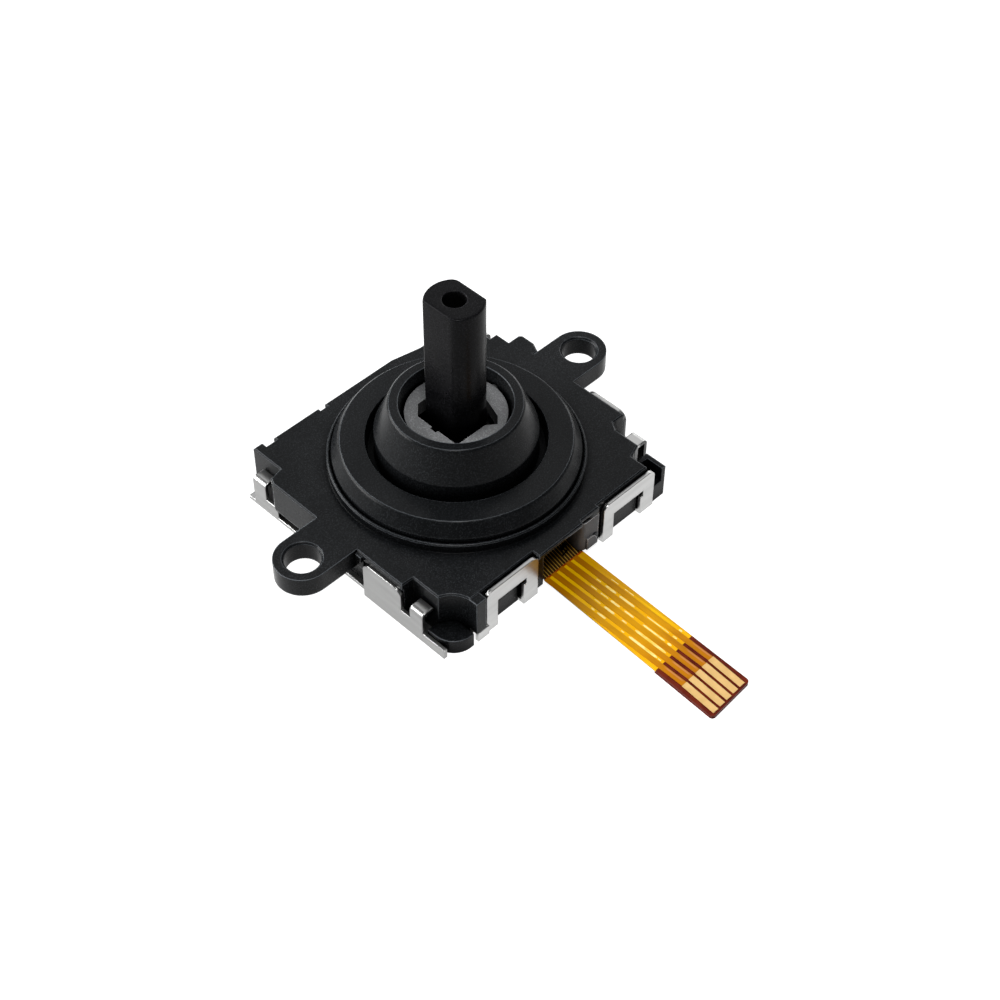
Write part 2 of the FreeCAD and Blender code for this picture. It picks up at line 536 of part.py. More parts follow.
def make_flanges(side, outer, inner, shift):
    """Stretches of the base plate that reach out to the bend of one side."""
    (x0, x1), (back0, back1) = side_spans(side, outer)
    span, back = ((x0, inner), (back0, inner)) if side == "Left" else ((inner, x1), (inner, back1))
    low = "-strip_end" if side == "Left" else f"-tab_end + {shift}"
    return [box(f"Flange{side}", *span, low, f"-side_start + {shift}", "0", "steel"),
            box(f"RearFlange{side}", *back, f"{BACK_FOOT}", f"{BACK_END}", "0", "steel")]


def make_side(side, outer, top, shift):
    """One folded side of the shield: panel with two round corners, web, hooked tab and rear tab with its foot."""
    (x0, x1), (back0, back1) = side_spans(side, outer)
    hook = (x0, f"{x0} + tab_long") if side == "Left" else (f"{x1} - tab_long", x1)
    back_hook = (back0, f"{back0} + tab_long") if side == "Left" else hook
    panel = box(f"Panel{side}", x0, x1, f"-side_end + {shift}", f"-side_start + {shift}", "0", top)
    tab0, tab1 = f"-tab_end + {shift}", f"-tab_start + {shift}"
    return [
        rounded(f"PanelRound{side}", panel, "panel_round",
                lambda middle, edge: near(middle.z,
                top) and abs(edge.tangentAt(edge.FirstParameter).x) > 0.9),
        box(f"Web{side}", x0, x1, f"{tab1} - clip_side", f"-side_end + {shift} + panel_round", "0",
        "web_top"),
        box(f"TabLeg{side}", x0, x1, tab0, tab1, "0", "tab_top"),
        box(f"TabTop{side}", *hook, tab0, tab1, "tab_top - steel", "tab_top"),
        box(f"RearLeg{side}", back0, back1, f"{BACK_START}", f"{BACK_END}", "0", "tab_top"),
        box(f"RearTop{side}", *back_hook, f"{BACK_START}", f"{BACK_END}", "tab_top - steel", "tab_top"),
        box(f"RearFoot{side}", back0, back1, f"{BACK_FOOT}", f"{BACK_START} + fit_gap", "0",
        "back_foot_high")]


def make_clip(name, x0, x1, top, window_top):
    """Clip frame at the front: an inverted U with round top corners, open at the bottom, on two roots."""
    face0, face1 = f"-{FACE_Y}", f"-{FACE_Y} + steel"
    sheet_face = box(f"Frame{name}", x0, x1, face0, face1, "0", top)
    soft = rounded(f"FrameRound{name}", sheet_face, "frame_round",
                   lambda middle, edge: near(middle.z, top) and (near(middle.x, x0) or near(middle.x, x1)))
    window = box(f"Window{name}", f"{x0} + frame_leg", f"{x1} - frame_right_leg", f"{face0} - over",
        f"{face1} + over",
                 "-over", window_top)
    nick = box(f"Nick{name}", f"{x1} - frame_right_leg - over / 10", f"{x1} - frame_right_leg + frame_nick",
               f"{face0} - over", f"{face1} + over", f"{window_top} - nick_high", window_top)
    roots = [box(f"Root{name}{n}", *span, face0, "-plate_half_y + plate_front + fit_gap", "0", "steel")
             for n, span in enumerate(((x0, f"{x0} + frame_leg"), (f"{x1} - frame_right_leg", x1)))]
    return [cut(f"Clip{name}", soft, window, nick), *roots]


def make_shield():
    """Folded steel sheet: base plate, two sides with hooked tabs and two clip frames at the front."""
    inner = f"({ROOM_X} + fit_gap * 4)"
    bottom = box("ShieldBottom", "-plate_half_x + back_in", RIGHT, "-plate_half_y + plate_front",
        "plate_half_y - back_in",
                 "0", "steel")
    corners = [
        box("ClearFrontLeft", f"-{SIDE_LEFT} - over", f"-{FOOT_X} + fit_gap", f"-{FACE_Y} - over",
            f"-{FOOT_Y} + fit_gap", "-over", "steel + over"),
        box("ClearFrontRight", "plate_half_x - block_start - fit_gap", f"{SIDE_RIGHT} + over",
        f"-{FACE_Y} - over",
            "-plate_half_y + block_rear + fit_gap", "-over", "steel + over"),
        box("ClearRearRight", f"{FOOT_X} - fit_gap", f"{SIDE_RIGHT} + over", f"{FOOT_Y} - fit_gap",
            "plate_half_y + over", "-over", "steel + over"),
        box("ClearTail", "-cheek_left - clip_side", "cheek_right + clip_side", f"-{FACE_Y} - over",
            "-plate_half_y + plate_front + clip_side", "-over", "steel + over")]
    flanges = [*make_flanges("Left", SIDE_LEFT, f"-{inner}", "0"),
        *make_flanges("Right", SIDE_RIGHT, inner, "right_shift")]
    pieces = [cut("ShieldBottomOpen", fuse("ShieldFlat", bottom, *flanges), *corners)]
    pieces += make_side("Left", SIDE_LEFT, "side_top", "0")
    pieces += make_side("Right", SIDE_RIGHT, "side_top_right", "right_shift")
    strip_x = (f"-{SIDE_LEFT}", f"-{SIDE_LEFT} + steel")
    pieces.append(box("StripLeft", *strip_x, "-strip_end", "-tab_end + fit_gap", "0", "strip_high"))
    for name, x0, x1, top, window_top in CLIPS:
        pieces += make_clip(name, x0, x1, top, window_top)
    pieces.append(box("ClipToe", f"-{A_START} - toe_wide", f"-{A_START} + fit_gap", f"-{FACE_Y} - toe_out",
                      f"-{FACE_Y} + toe_out", "0", "toe_high"))
    folded = fuse("ShieldFolded", *pieces)

    def bends(middle, edge):
        runs_y = edge.Length > 0.6 and abs(edge.tangentAt(edge.FirstParameter).y) > 0.99
        outer = near(middle.x, f"-{SIDE_LEFT}") or near(middle.x, SIDE_RIGHT) or near(middle.x,
            f"-{SIDE_LEFT} + back_in * 2")
        return runs_y and outer and near(middle.z, "tab_top")

    return rounded("shield", folded, "bend_round", bends)


def tail_x(side, y):
    """X of the tail's left or right edge at a distance y towards its end, as it leans and widens."""
    root, tip = ("tail_left", "tip_left") if side == "left" else ("tail_right", "tip_right")
    along = f"(({y} - {RAMP_OUT}) / (tail_end - {RAMP_OUT}))"
    sign = "-" if side == "left" else ""
    return f"({sign}{root} + ({sign}{tip} - {sign}{root}) * {along})"


def lead_x(number, y):
    """X of one conductor's middle line at a distance y towards the tail's end."""
    along = f"(({y} - {RAMP_OUT}) / (tail_end - {RAMP_OUT}))"
    return f"(-lead_start + {number} * lead_pitch - lead_drift * {along})"


def make_film():
    """Amber film of the flexible circuit: inner sheet, ramp down through the notch, and leaning tail."""
    inner = prism("FilmInner", clipped(FILM_X, FILM_Y, "film_chamfer"), BASE_TOP, FILM_TOP)
    profile = slab_x("FilmProfile", [
        (f"-{FILM_Y} + film_chamfer", FILM_TOP), (f"-{FILM_Y} + film_chamfer", BASE_TOP),
        (f"-{RAMP_IN}", BASE_TOP),
        (f"-{RAMP_OUT}", "stiff_thick"), ("-tail_end - over", "stiff_thick"),
        ("-tail_end - over", "stiff_thick + film"),
        (f"-{RAMP_OUT}", "stiff_thick + film"), (f"-{RAMP_IN}", FILM_TOP)], "-tip_left - over",
        "tail_right + over")
    root = f"({FILM_Y} - film_chamfer)"
    shape = prism("TailOutline", [
        (tail_x("left", root), f"-{root}"), (tail_x("left", "tail_end"), "-tail_end - tail_skew"),
        (tail_x("right", "tail_end"), "-tail_end + tail_skew"), (tail_x("right", root), f"-{root}")], "0",
        "over")
    tail = common("FilmTail", profile, shape)
    whole = fuse("FilmWhole", inner, tail)
    return rounded("flex_film", whole, "end_round", at_tail_end)


def at_tail_end(middle, edge):
    return upright(edge) and middle.y < -size("tail_end - tail_skew * 2")


def make_tail_parts():
    """Stiffener under the tail's end, and the five pads and conductors on its face."""
    start = "(tail_end - stiff_long)"
    stiff = prism("StiffWhole", [
        (tail_x("left", start), f"-{start} - tail_skew"),
        (tail_x("left", "tail_end"), "-tail_end - tail_skew"),
        (tail_x("right", "tail_end"), "-tail_end + tail_skew"),
        (tail_x("right", start), f"-{start} + tail_skew")],
        "0", "stiff_thick")
    stiffener = rounded("flex_stiffener", stiff, "end_round", at_tail_end)
    face = "stiff_thick + film"
    pads, traces = [], []
    for number in range(5):
        level = f"({2 - number} / 2 * (tail_skew - fit_gap / 2))"
        pad_start, pad_end = f"(tail_end - pad_long + {level})", f"(tail_end - pad_margin + {level})"
        near_x, far_x = lead_x(number, "(tail_end - pad_long)"), f"({lead_x(number, 'tail_end')} - pad_drift)"
        pads.append(prism(f"Pad{number}", [
            (f"{near_x} - pad_wide / 2", f"-{pad_start}"), (f"{far_x} - pad_wide / 2", f"-{pad_end}"),
            (f"{far_x} + pad_wide / 2", f"-{pad_end}"), (f"{near_x} + pad_wide / 2", f"-{pad_start}")],
            face, f"{face} + pad_thick"))
        root_x = lead_x(number, RAMP_OUT)
        traces.append(prism(f"Trace{number}", [
            (f"{root_x} - trace_wide / 2", f"-{RAMP_OUT}"), (f"{near_x} - trace_wide / 2", f"-{pad_start}"),
            (f"{near_x} + trace_wide / 2", f"-{pad_start}"), (f"{root_x} + trace_wide / 2", f"-{RAMP_OUT}")],
            face, f"{face} + pad_thick"))
    return stiffener, group("tail_contacts", pads), group("tail_conductors", traces)


def make_tracks():
    """Printed carbon strips on the film, two under each slider."""
    rows = []
    for number in range(2):
        low = f"(track_first + {number} * (track_wide + track_gap))"
        rows.append((low, f"({low} + track_wide)"))
    along_x = group("carbon_track_x", [
        box(f"TrackX{n}", "-track_half", "track_half", low, high, FILM_TOP, f"{FILM_TOP} + track_thick")
        for n, (low, high) in enumerate(rows)])
    along_y = group("carbon_track_y", [
        box(f"TrackY{n}", low, high, "-track_half", "track_half", FILM_TOP, f"{FILM_TOP} + track_thick")
        for n, (low, high) in enumerate(rows)])
    return along_x, along_y


def make_sliders():
    """Sliding carriers, each with a slot for its drive ball and a wiper below."""
    nodes = []
    slot_low = "(slider_top - slot_deep)"
    block = box("SliderXBlock", "-slider_half", "slider_half", "slider_near", "slider_far", "slider_low",
        "slider_top")
    slot = box("SliderXSlot", "-slot_half", "slot_half", "slider_near - over", "slot_end", slot_low,
        "slider_top + over")
    nodes.append(cut("slider_x", block, slot))
    block = box("SliderYBlock", "slider_near", "slider_far", "-slider_half", "slider_half", "slider_low",
        "slider_top")
    slot = box("SliderYSlot", "slider_near - over", "slot_end", "-slot_half", "slot_half", slot_low,
        "slider_top + over")
    nodes.append(cut("slider_y", block, slot))
    touch = f"({FILM_TOP} + track_thick + touch_gap)"
    back = "track_first - wiper_over", "track_first + 2 * track_wide + track_gap + wiper_over"
    fingers_x = [box("WiperXBack", "-wiper_half", "wiper_half", *back, "slider_low - wiper", "slider_low")]
    fingers_y = [box("WiperYBack", *back, "-wiper_half", "wiper_half", "slider_low - wiper", "slider_low")]
    for number in range(2):
        low = f"(track_first + {number} * (track_wide + track_gap) + finger_side)"
        high = f"({low} + track_wide - 2 * finger_side)"
        leaf = [("finger_start", "slider_low - wiper"), ("finger_start + finger_long", touch),
                ("finger_start + finger_long", f"{touch} + wiper"), ("wiper_half", "slider_low - touch_gap")]
        fingers_y.append(slab_x(f"FingerY{number}", leaf, low, high))
        turned_leaf = slab_x(f"FingerX{number}Flat", leaf, low, high)
        mirror = doc.addObject("Part::Mirroring", f"FingerX{number}")
        mirror.Source = turned_leaf
        mirror.Base = FreeCAD.Vector(0, 0, 0)
        mirror.Normal = FreeCAD.Vector(1, -1, 0)
        fingers_x.append(mirror)
    nodes.append(fuse("wiper_x", *fingers_x))
    nodes.append(fuse("wiper_y", *fingers_y))
    return nodes


def make_gimbal():
    """Grey ring that tilts about X and carries the stick's pin, with a drive arm for one slider."""
    ring = post("GimbalDisc", "gimbal_r", "pivot_z - gimbal_half_high", "pivot_z + gimbal_half_high")
    pins = rod_x("Trunnions", "trunnion", "-gimbal_r - trunnion_long", "gimbal_r + trunnion_long", "0",
        "pivot_z")
    side = ("-arm_half + link_side", "arm_half - link_side")
    arm = box("DriveArm", "arm_in", "arm_out", "-arm_half", "arm_half", "link_low", "pivot_z")
    link = box("DriveLink", "arm_in", "link_reach", *side, "link_low", "link_top")
    tip = rod_x("DriveBall", "drive_ball", "slider_near + ball_in", "link_reach", "0", "pivot_z - drive_arm")
    neck = box("DriveNeck", "slider_near + ball_in", "link_reach", "-neck_half", "neck_half",
               "pivot_z - drive_arm", "link_top - link_side")
    x, y, bend = "window_half_x", "window_half_y", "window_round"
    window = prism("GimbalWindow", [
        (f"-{x}", f"-{y} + {bend} / 2"), (f"-{x} + {bend} / 2", f"-{y}"), (f"{x} / 5", f"-{y}"),
        (f"{x} / 2", f"-{y} - window_point"), (f"{x} - window_point", f"-{y}"), (x, f"-{y} / 3"),
        (x, f"{y} - {bend} * 2"),
        (f"{x} - {bend} * 2", y), (f"-{x} + {bend} * 2", y), (f"-{x}", f"{y} - {bend} * 2")],
        "well_top", "rim_z")
    holes = rod_y("PinHoles", "pin_r + pin_fit", "-window_half_y - trunnion_long",
        "window_half_y + trunnion_long", "0",
                  "pivot_z")
    nick = box("TongueNotch", f"-{x} - {bend} / 2", f"-{x} + {bend} / 2", "-arm_half", "link_side",
        "well_top", "rim_z")
    ring_open = cut("GimbalOpen", fuse("GimbalSolid", ring, pins), window, holes, nick)
    return fuse("gimbal_ring", ring_open, arm, link, tip, neck)


def make_pin():
    """Steel cross pin: round ends in the ring, square middle through the stem."""
    shaft = rod_y("PinShaft", "pin_r", "-window_half_y - 0.5", "window_half_y + 0.5", "0", "pivot_z")
    middle = box("PinMiddle", "-pin_square", "pin_square", "-stem_r - 0.05", "stem_r + 0.05",
                 "pivot_z - pin_square", "pivot_z + pin_square")
    ends = cut("PinEnds", shaft, box("PinGap", "-1", "1", "-stem_r - 0.04", "stem_r + 0.04",
                                     "pivot_z - 1", "pivot_z + 1"))
    return fuse("cross_pin", ends, middle)


def make_stem():
    """Black stick: double-D stem with a blind hole for a cap, and a round shaft with a foot."""
    full = post("StemRound", "stem_r", "stem_low", "stem_top")
    flats = box("StemFlats", "-stem_flat", "stem_flat", "-stem_r - 1", "stem_r + 1", "stem_low - 1",
        "stem_top + 1")
    upper = common("StemUpper", full, flats)
    corner = rounded("StemSoft", upper, "stem_round",
                     lambda middle, edge: near(middle.z,
                     "stem_top") or (upright(edge) and middle.z > size("rim_z")))
    shaft = post("Shaft", "shaft_r", "shaft_low", "stem_low + 0.1")
    foot = post("Foot", "foot_disc_r", "shaft_low", "shaft_low + foot_disc_high")
    bore = post("CapBore", "cap_bore", "stem_top - cap_bore_deep", "stem_top + 1")
    lead = doc.addObject("Part::Cone", "CapLead")
    bind(lead, "Radius1", "cap_bore")
    bind(lead, "Radius2", "cap_bore + stem_chamfer")
    bind(lead, "Height", "stem_chamfer")
    place(lead, z="stem_top - stem_chamfer")
    slot = box("PinSlot", "-pin_square - touch_gap", "pin_square + touch_gap", "-stem_r - over",
        "stem_r + over",
               "pivot_z - pin_square - pin_fit", "pivot_z + pin_square + press_travel + socket_fit")
    return cut("stick_stem", fuse("StemSolid", corner, shaft, foot), bore, lead, slot)


def make_yoke():
    """Arch that tilts about Y: eyes on two stub pins, slotted bar below, drive arm for the other slider."""
    pieces = []
    for side, sign in (("Rear", 1), ("Front", -1)):
        inner, outer = "yoke_in", "yoke_in + yoke_thick"
        y0, y1 = (inner, outer) if sign > 0 else (f"-({outer})", f"-{inner}")
        pieces.append(rod_y(f"Eye{side}Yoke", "yoke_eye", y0, y1, "0", "pivot_z"))
        pieces.append(box(f"Arm{side}Yoke", "-yoke_arm_half + 0.06", "yoke_arm_half - 0.06", y0, y1,
            "yoke_bar_low",
                          "pivot_z"))
        pin0, pin1 = (outer, f"{outer} + yoke_pin_long") if sign > 0 else (f"-({outer}) - yoke_pin_long",
            f"-({outer})")
        pieces.append(rod_y(f"Stub{side}", "yoke_pin", pin0, pin1, "0", "pivot_z"))
    bar = box("YokeBar", "-yoke_half", "yoke_half", "-yoke_in - yoke_thick", "yoke_in + yoke_thick",
        "yoke_bar_low",
              "yoke_bar_low + yoke_bar_high")
    slot = box("YokeSlot", "-yoke_slot_half", "yoke_slot_half", "-yoke_slot_long", "yoke_slot_long",
               "yoke_bar_low - 1", "yoke_bar_low + 1")
    ends = []
    for number, (sign_x, sign_y) in enumerate(((1, 1), (1, -1), (-1, 1), (-1, -1))):
        x0, x1 = ("yoke_arm_half", "yoke_half + 1") if sign_x > 0 else ("-yoke_half - 1", "-yoke_arm_half")
        y0, y1 = ("yoke_in - 0.25", "yoke_in + 1") if sign_y > 0 else ("-yoke_in - 1", "-yoke_in + 0.25")
        ends.append(box(f"YokeTrim{number}", x0, x1, y0, y1, "yoke_bar_low - 1", "yoke_bar_low + 1"))
    pieces.append(cut("YokeBarOpen", bar, slot, *ends))
    pieces.append(box("YokeDrop", "-arm_half + 0.05", "arm_half - 0.05", "yoke_in", "yoke_in + yoke_thick",
        "link_low",
                      "yoke_bar_low + 0.1"))
    pieces.append(box("YokeLink", "-arm_half + 0.05", "arm_half - 0.05", "yoke_in", "link_reach", "link_low",
                      "link_top"))
    pieces.append(rod_y("YokeBall", "drive_ball", "slider_near + 0.08", "link_reach", "0",
        "pivot_z - drive_arm"))
    pieces.append(box("YokeNeck", "-drive_ball * 0.6", "drive_ball * 0.6", "slider_near + 0.08", "link_reach",
                      "pivot_z - drive_arm", "link_top - 0.05"))
    return fuse("x_yoke", *pieces)


def make_coil(name, low, high):
    """Coil spring made of half turns: each is half a ring, tilted so that it climbs half a pitch."""
    halves = 2 * round(size("spring_turns"))
    climb = f"(({high}) - ({low})) / {halves}"
    tilt = math.degrees(math.atan2(size(climb) / 2, size("spring_r")))
    middle = f"sqrt(spring_r * spring_r + ({climb}) * ({climb}) / 4)"
    # the wire's section, a hexagon
    section = [(f"{middle} + spring_wire * {math.cos(turn):.4f}", f"spring_wire * {math.sin(turn):.4f}")
               for turn in (math.radians(30 + 60 * corner) for corner in range(6))]
    turns = []
    for number in range(halves):
        half = turned(f"HalfTurn{number}", section, 180)
        lean = FreeCAD.Rotation(FreeCAD.Vector(0, 1, 0), tilt if number % 2 == 0 else -tilt)
        half.Placement.Rotation = lean * FreeCAD.Rotation(FreeCAD.Vector(0, 0, 1), 180 * (number % 2))
        turns.append(place(half, z=f"{low} + {number + 0.5} * {climb}"))
    return fuse(name, *turns)


def make_switch():
    """Spring seat with its push nub, coil spring and snap dome."""
    seat = fuse("spring_seat",
                post("SeatDisc", "seat_r", SEAT_LOW, "seat_top"),
                post("SeatNub", "nub_r", f"{FILM_TOP} + dome_high + nub_gap", "seat_top"))
    dome = turned("snap_dome", [
        ("0", f"{FILM_TOP} + dome_high - dome_sheet"),
        ("dome_r * dome_flat", f"{FILM_TOP} + dome_high - dome_sheet - dome_drop"),
        ("dome_r - dome_sheet", FILM_TOP), ("dome_r", FILM_TOP),
        ("dome_r * dome_flat + dome_drop", f"{FILM_TOP} + dome_high - dome_drop"),
        ("0", f"{FILM_TOP} + dome_high")])
    coil = make_coil("return_spring", f"({FILM_TOP} + spring_wire + touch_gap)",
        f"({SEAT_LOW} - spring_wire - touch_gap)")
    return seat, dome, coil


nodes = [make_housing(), make_base(), make_shield(), make_film(), *make_tail_parts(), *make_tracks(),
         *make_sliders(), make_gimbal(), make_pin(), make_stem(), make_yoke(), *make_switch()]
for node in nodes:
    node.Label = node.Name
doc.recompute()

for thing in doc.Objects:
    if "Invalid" in thing.State or "Error" in thing.State:
        raise RuntimeError(f"{thing.Name} failed: {thing.State}")
for node in nodes:
    shape = node.Shape
    if shape.isNull() or not shape.isValid() or not shape.Solids:
        raise RuntimeError(f"{node.Label} has no valid solid")
    if node.Label not in ("tail_contacts", "tail_conductors", "carbon_track_x", "carbon_track_y"):
        if len(shape.Solids) != 1:
            raise RuntimeError(f"{node.Label} has {len(shape.Solids)} solids")
    shape.exportStep(f"parts/{node.Label}.step")
    print(node.Label, round(shape.Volume, 3))
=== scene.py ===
import json
import math

import bmesh
import bpy
from mathutils import Matrix, Vector


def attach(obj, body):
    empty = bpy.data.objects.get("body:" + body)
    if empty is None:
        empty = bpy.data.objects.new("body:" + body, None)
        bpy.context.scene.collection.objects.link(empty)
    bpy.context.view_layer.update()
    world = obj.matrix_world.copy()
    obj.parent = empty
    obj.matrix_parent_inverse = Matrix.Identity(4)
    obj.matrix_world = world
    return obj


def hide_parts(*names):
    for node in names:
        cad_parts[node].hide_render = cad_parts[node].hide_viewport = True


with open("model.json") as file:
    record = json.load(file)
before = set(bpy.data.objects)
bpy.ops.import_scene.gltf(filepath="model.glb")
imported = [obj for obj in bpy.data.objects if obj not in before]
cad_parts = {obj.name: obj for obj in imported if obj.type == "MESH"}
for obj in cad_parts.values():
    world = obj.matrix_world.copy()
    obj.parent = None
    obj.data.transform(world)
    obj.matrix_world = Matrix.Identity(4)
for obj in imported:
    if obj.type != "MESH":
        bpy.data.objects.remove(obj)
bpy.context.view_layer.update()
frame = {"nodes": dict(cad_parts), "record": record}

MM = 0.001

# Camera: the photograph's place and angle in the part's own frame, lens and sensor in millimetres,
# nearest and furthest distance seen in metres
CAMERA_PLACE = Vector((-46.290, -48.414, 72.162)) * MM
CAMERA_AZIMUTH = math.radians(-45.549)
CAMERA_ELEVATION = math.radians(47.324)
CAMERA_ROLL = math.radians(0.434)
CAMERA_LENS = 70.326
CAMERA_SENSOR = 36.0
CAMERA_NEAR = 0.005
CAMERA_FAR = 10

# Soft boxes: name, azimuth from the front (-Y) towards +X and elevation in degrees,
# distance, width and height in metres, and power in watts
LAMPS = (
    ("lamp_rear_left", -145, 22, 0.32, 0.30, 0.14, 1.7),
    ("lamp_rear_right", 100, 22, 0.32, 0.30, 0.14, 0.3),
    ("lamp_key", -45, 68, 0.42, 0.12, 0.09, 1.1),
    ("lamp_back", 134.5, 47, 0.4, 0.26, 0.2, 0.18),
)

# Room: tone by how far the direction rises, from level (0) to straight up (1)
SKY = ((0.0, (120, 120, 121)), (0.2, (80, 80, 82)), (0.6, (78, 78, 80)), (1.0, (84, 84, 86)))

# Floor: half of its side in metres, its tone, and how far its background is lifted to white
FLOOR_HALF = 9.0
FLOOR_TONE = 0.35
FLOOR_LIFT = 0.9

# Screen colours: their white, and the power that turns them into scene colours
SCREEN_WHITE = 255
SCREEN_GAMMA = 2.2

# Numbers of the colour mixer's sockets: factor, first and second colour, and result
MIX_INPUTS = (0, 6, 7)
MIX_OUTPUT = 2

# Surfaces: the usual shine, the usual span of a noise, samples for edges and recesses, and heights
# of the grain and of the film's waves in metres. Noise scales are per metre throughout.
USUAL_SHINE = 0.5
NOISE_SPAN = (0.3, 0.7)
SURFACE_SAMPLES = 8
GRAIN_HIGH = 0.00001
WAVE_HIGH = 0.00004

# Mouldings: clouds of tone, light specks, patches of gloss and the grain
CLOUD_SCALE = 260
SPECK_SCALE = 16000
SPECK_SPAN = (0.48, 0.72)
GLOSS_SCALE = 900
GLOSS_LESS = 0.04
GLOSS_MORE = 0.05
PLASTIC_GRAIN_SCALE = 7500
PLASTIC_GRAIN = 0.5

# Mouldings' painted shade in recesses, on colour and shine: how far a wall shades, in metres, the
# span of open air over which the painted shade goes, its dimmest value, and the dimmest value of
# the painted shade low down on the stick
PAINTED_SHADE_REACH = 0.0012
PAINTED_SHADE_SPAN = (0.3, 0.95)
PAINTED_SHADE_DIM = 0.2
LOW_PAINTED_SHADE = 0.15

# Mouldings' painted edge highlights: turn of the softened normal (as a cosine), open air that they
# need, their strength, and how much lighter than the rest they are
HIGHLIGHT_TURN = (0.9, 0.99)
HIGHLIGHT_OPEN = (0.75, 0.95)
HIGHLIGHT_SHARE = 0.8
HIGHLIGHT_GAIN = 4

# Mouldings: screen colours, roughness and edge radius in metres, then, where they aren't the usual
# ones, the shine and how much lighter the specks are, and the heights in millimetres between which
# painted shade darkens the stick towards its lower end
PLASTIC_SHINE = 0.09
PLASTIC_SPECK = 1.8
PLASTICS = {
    "black_plastic": dict(dark=(19, 20, 21), light=(25, 26, 27), roughness=0.25, edge=0.00011),
    "black_stem": dict(dark=(17, 17, 18), light=(22, 22, 23), roughness=0.25, edge=0.0001,
                       specular=0.05, low=(5.0, 9.5)),
    # The wall's grey is painted sheen: the real wall is black plastic that catches light
    "wall_sheen_plastic": dict(dark=(92, 92, 93), light=(98, 98, 99), roughness=0.4, edge=0.0001,
                         speck=1.1),
    "grey_plastic": dict(dark=(112, 113, 114), light=(122, 123, 124), roughness=0.5, edge=0.00005,
                         speck=1.25),
    "white_plastic": dict(dark=(214, 212, 205), light=(224, 222, 216), roughness=0.5, edge=0.00005,
                          speck=1.02),
}

# Metals: streaks along the sheet and fine grain
STREAK_SCALE = 900
STREAK_STRETCH = (0.25, 0.25, 3)
METAL_GRAIN_SCALE = 5000
METAL_GRAIN = 0.25
METALS = {
    "steel": dict(dark=(172, 172, 171), light=(188, 188, 187), roughness=0.3, edge=0.00008,
                  shaded_sides=True),
    "spring_metal": dict(dark=(190, 186, 176), light=(208, 204, 196), roughness=0.3, edge=0.0),
}

# Painted shade on the shield's upright sides, dimmer than the rest: how far up a face may look, and
# for each side its soft start across the part in millimetres, its share and its tone
UPRIGHT_SPAN = (0.3, 0.7)
LEFT_SIDE = (-7.0, -6.8)
LEFT_SHADE_SHARE = 0.45
LEFT_SHADE_TONE = (70, 70, 70)
RIGHT_SIDE = (7.5, 7.7)
RIGHT_SHADE_SHARE = 0.9
RIGHT_SHADE_TONE = (30, 30, 31)

# Plain surfaces
PLAIN_SCALE = 2500
PLAIN_GRAIN_SCALE = 8000
PLAIN_GRAIN = 0.3
PLAINS = {
    "red_brown_film": dict(dark=(88, 26, 12), light=(104, 34, 16), roughness=0.5, specular=0.03),
    "contact_metal": dict(dark=(206, 168, 106), light=(220, 182, 120), roughness=0.45,
                          specular=0.08),
    "carbon": dict(dark=(22, 22, 22), light=(36, 36, 36), roughness=0.7),
}

# Pieces in the gimbal ring's window that take the stick's dark surface as painted shade: their own
# surface would shine there, where the real one looks dark
SHADED_INSIDE = ("cross_pin", "x_yoke", "spring_seat")

# Tail of the flexible circuit, in millimetres: where the flat part starts and ends, its face's
# height, the stiffener's and pads' starts, and the conductors' first line, pitch, half width and
# drift sideways along the tail. The last is a whole number of pitches, which keeps the places
# counted from the first line above zero.
TAIL_ROOT = 7.2
TAIL_END = 18.2
TAIL_FACE = 0.22
STIFF_START = 14.55
STIFF_SKEW = 0.06
PAD_START = 16.05
LEAD_FIRST = -1.05
LEAD_PITCH = 0.5
LEAD_HALF = 0.15
LEAD_DRIFT = 0.1
LEAD_SHIFT = 5

# Cover film: roughness and shine, then screen colours from the root (0) to the stiffener (1), in
# the middle and along the bright right edge, and that edge's rim. Spans and soft widths are in
# millimetres.
FILM_ROUGH = 0.24
FILM_SHINE = 0.1
FILM_MIDDLE = ((0.0, (218, 168, 0)), (0.25, (236, 180, 4)), (0.5, (254, 190, 12)),
               (1.0, (246, 182, 12)))
FILM_BRIGHT = ((0.0, (206, 154, 0)), (0.4, (238, 172, 8)), (0.75, (255, 198, 14)),
               (1.0, (252, 188, 12)))
BRIGHT_SPAN = (0.85, 1.1)
RIM_SPAN = (1.18, 1.26)
RIM_SHARE = 0.6
RIM_COLOUR = (208, 148, 10)
FILM_CLOUD_SCALE = 1400
FILM_CLOUD_STRETCH = (1, 0.35, 1)
FILM_CLOUD_SPAN = (0.35, 0.75)
FILM_CLOUD_SHARE = 0.18
FILM_CLOUD_COLOUR = (150, 95, 0)
WAVE_SCALE = 1500
WAVE_STRETCH = (1, 0.3, 1)
WAVE_STRENGTH = 0.2
FILM_EDGE = 0.00003

# Cover film over the stiffener
STIFF_SCALE = 1800
STIFF_COLOURS = ((0.0, (84, 24, 10)), (1.0, (106, 38, 20)))
STIFF_SOFT = 0.02

# Dark ramp of the film inside the notch: fine lines, slanted slot marks (span across, span along
# and softness along, then softness across, slant and scene colour of all) and a red line at its
# foot
RAMP_DARK = (48, 34, 10)
RAMP_LINE = (168, 132, 60)
RAMP_LINE_PITCH = 0.17
RAMP_LINE_SPAN = (0.55, 0.95)
RAMP_SOFT = 0.02
SLOT_MARKS = (((0.66, 1.12), (6.56, 6.76), 0.04), ((0.5, 0.92), (6.86, 6.95), 0.03))
SLOT_SOFT = 0.05
SLOT_SKEW = 0.2
SLOT_BLACK = (0.002, 0.002, 0.002, 1)
FOOT_LINE = (TAIL_ROOT - 0.03, TAIL_ROOT + 0.05)
FOOT_LINE_SOFT = 0.05
FOOT_LINE_COLOUR = (150, 52, 8)

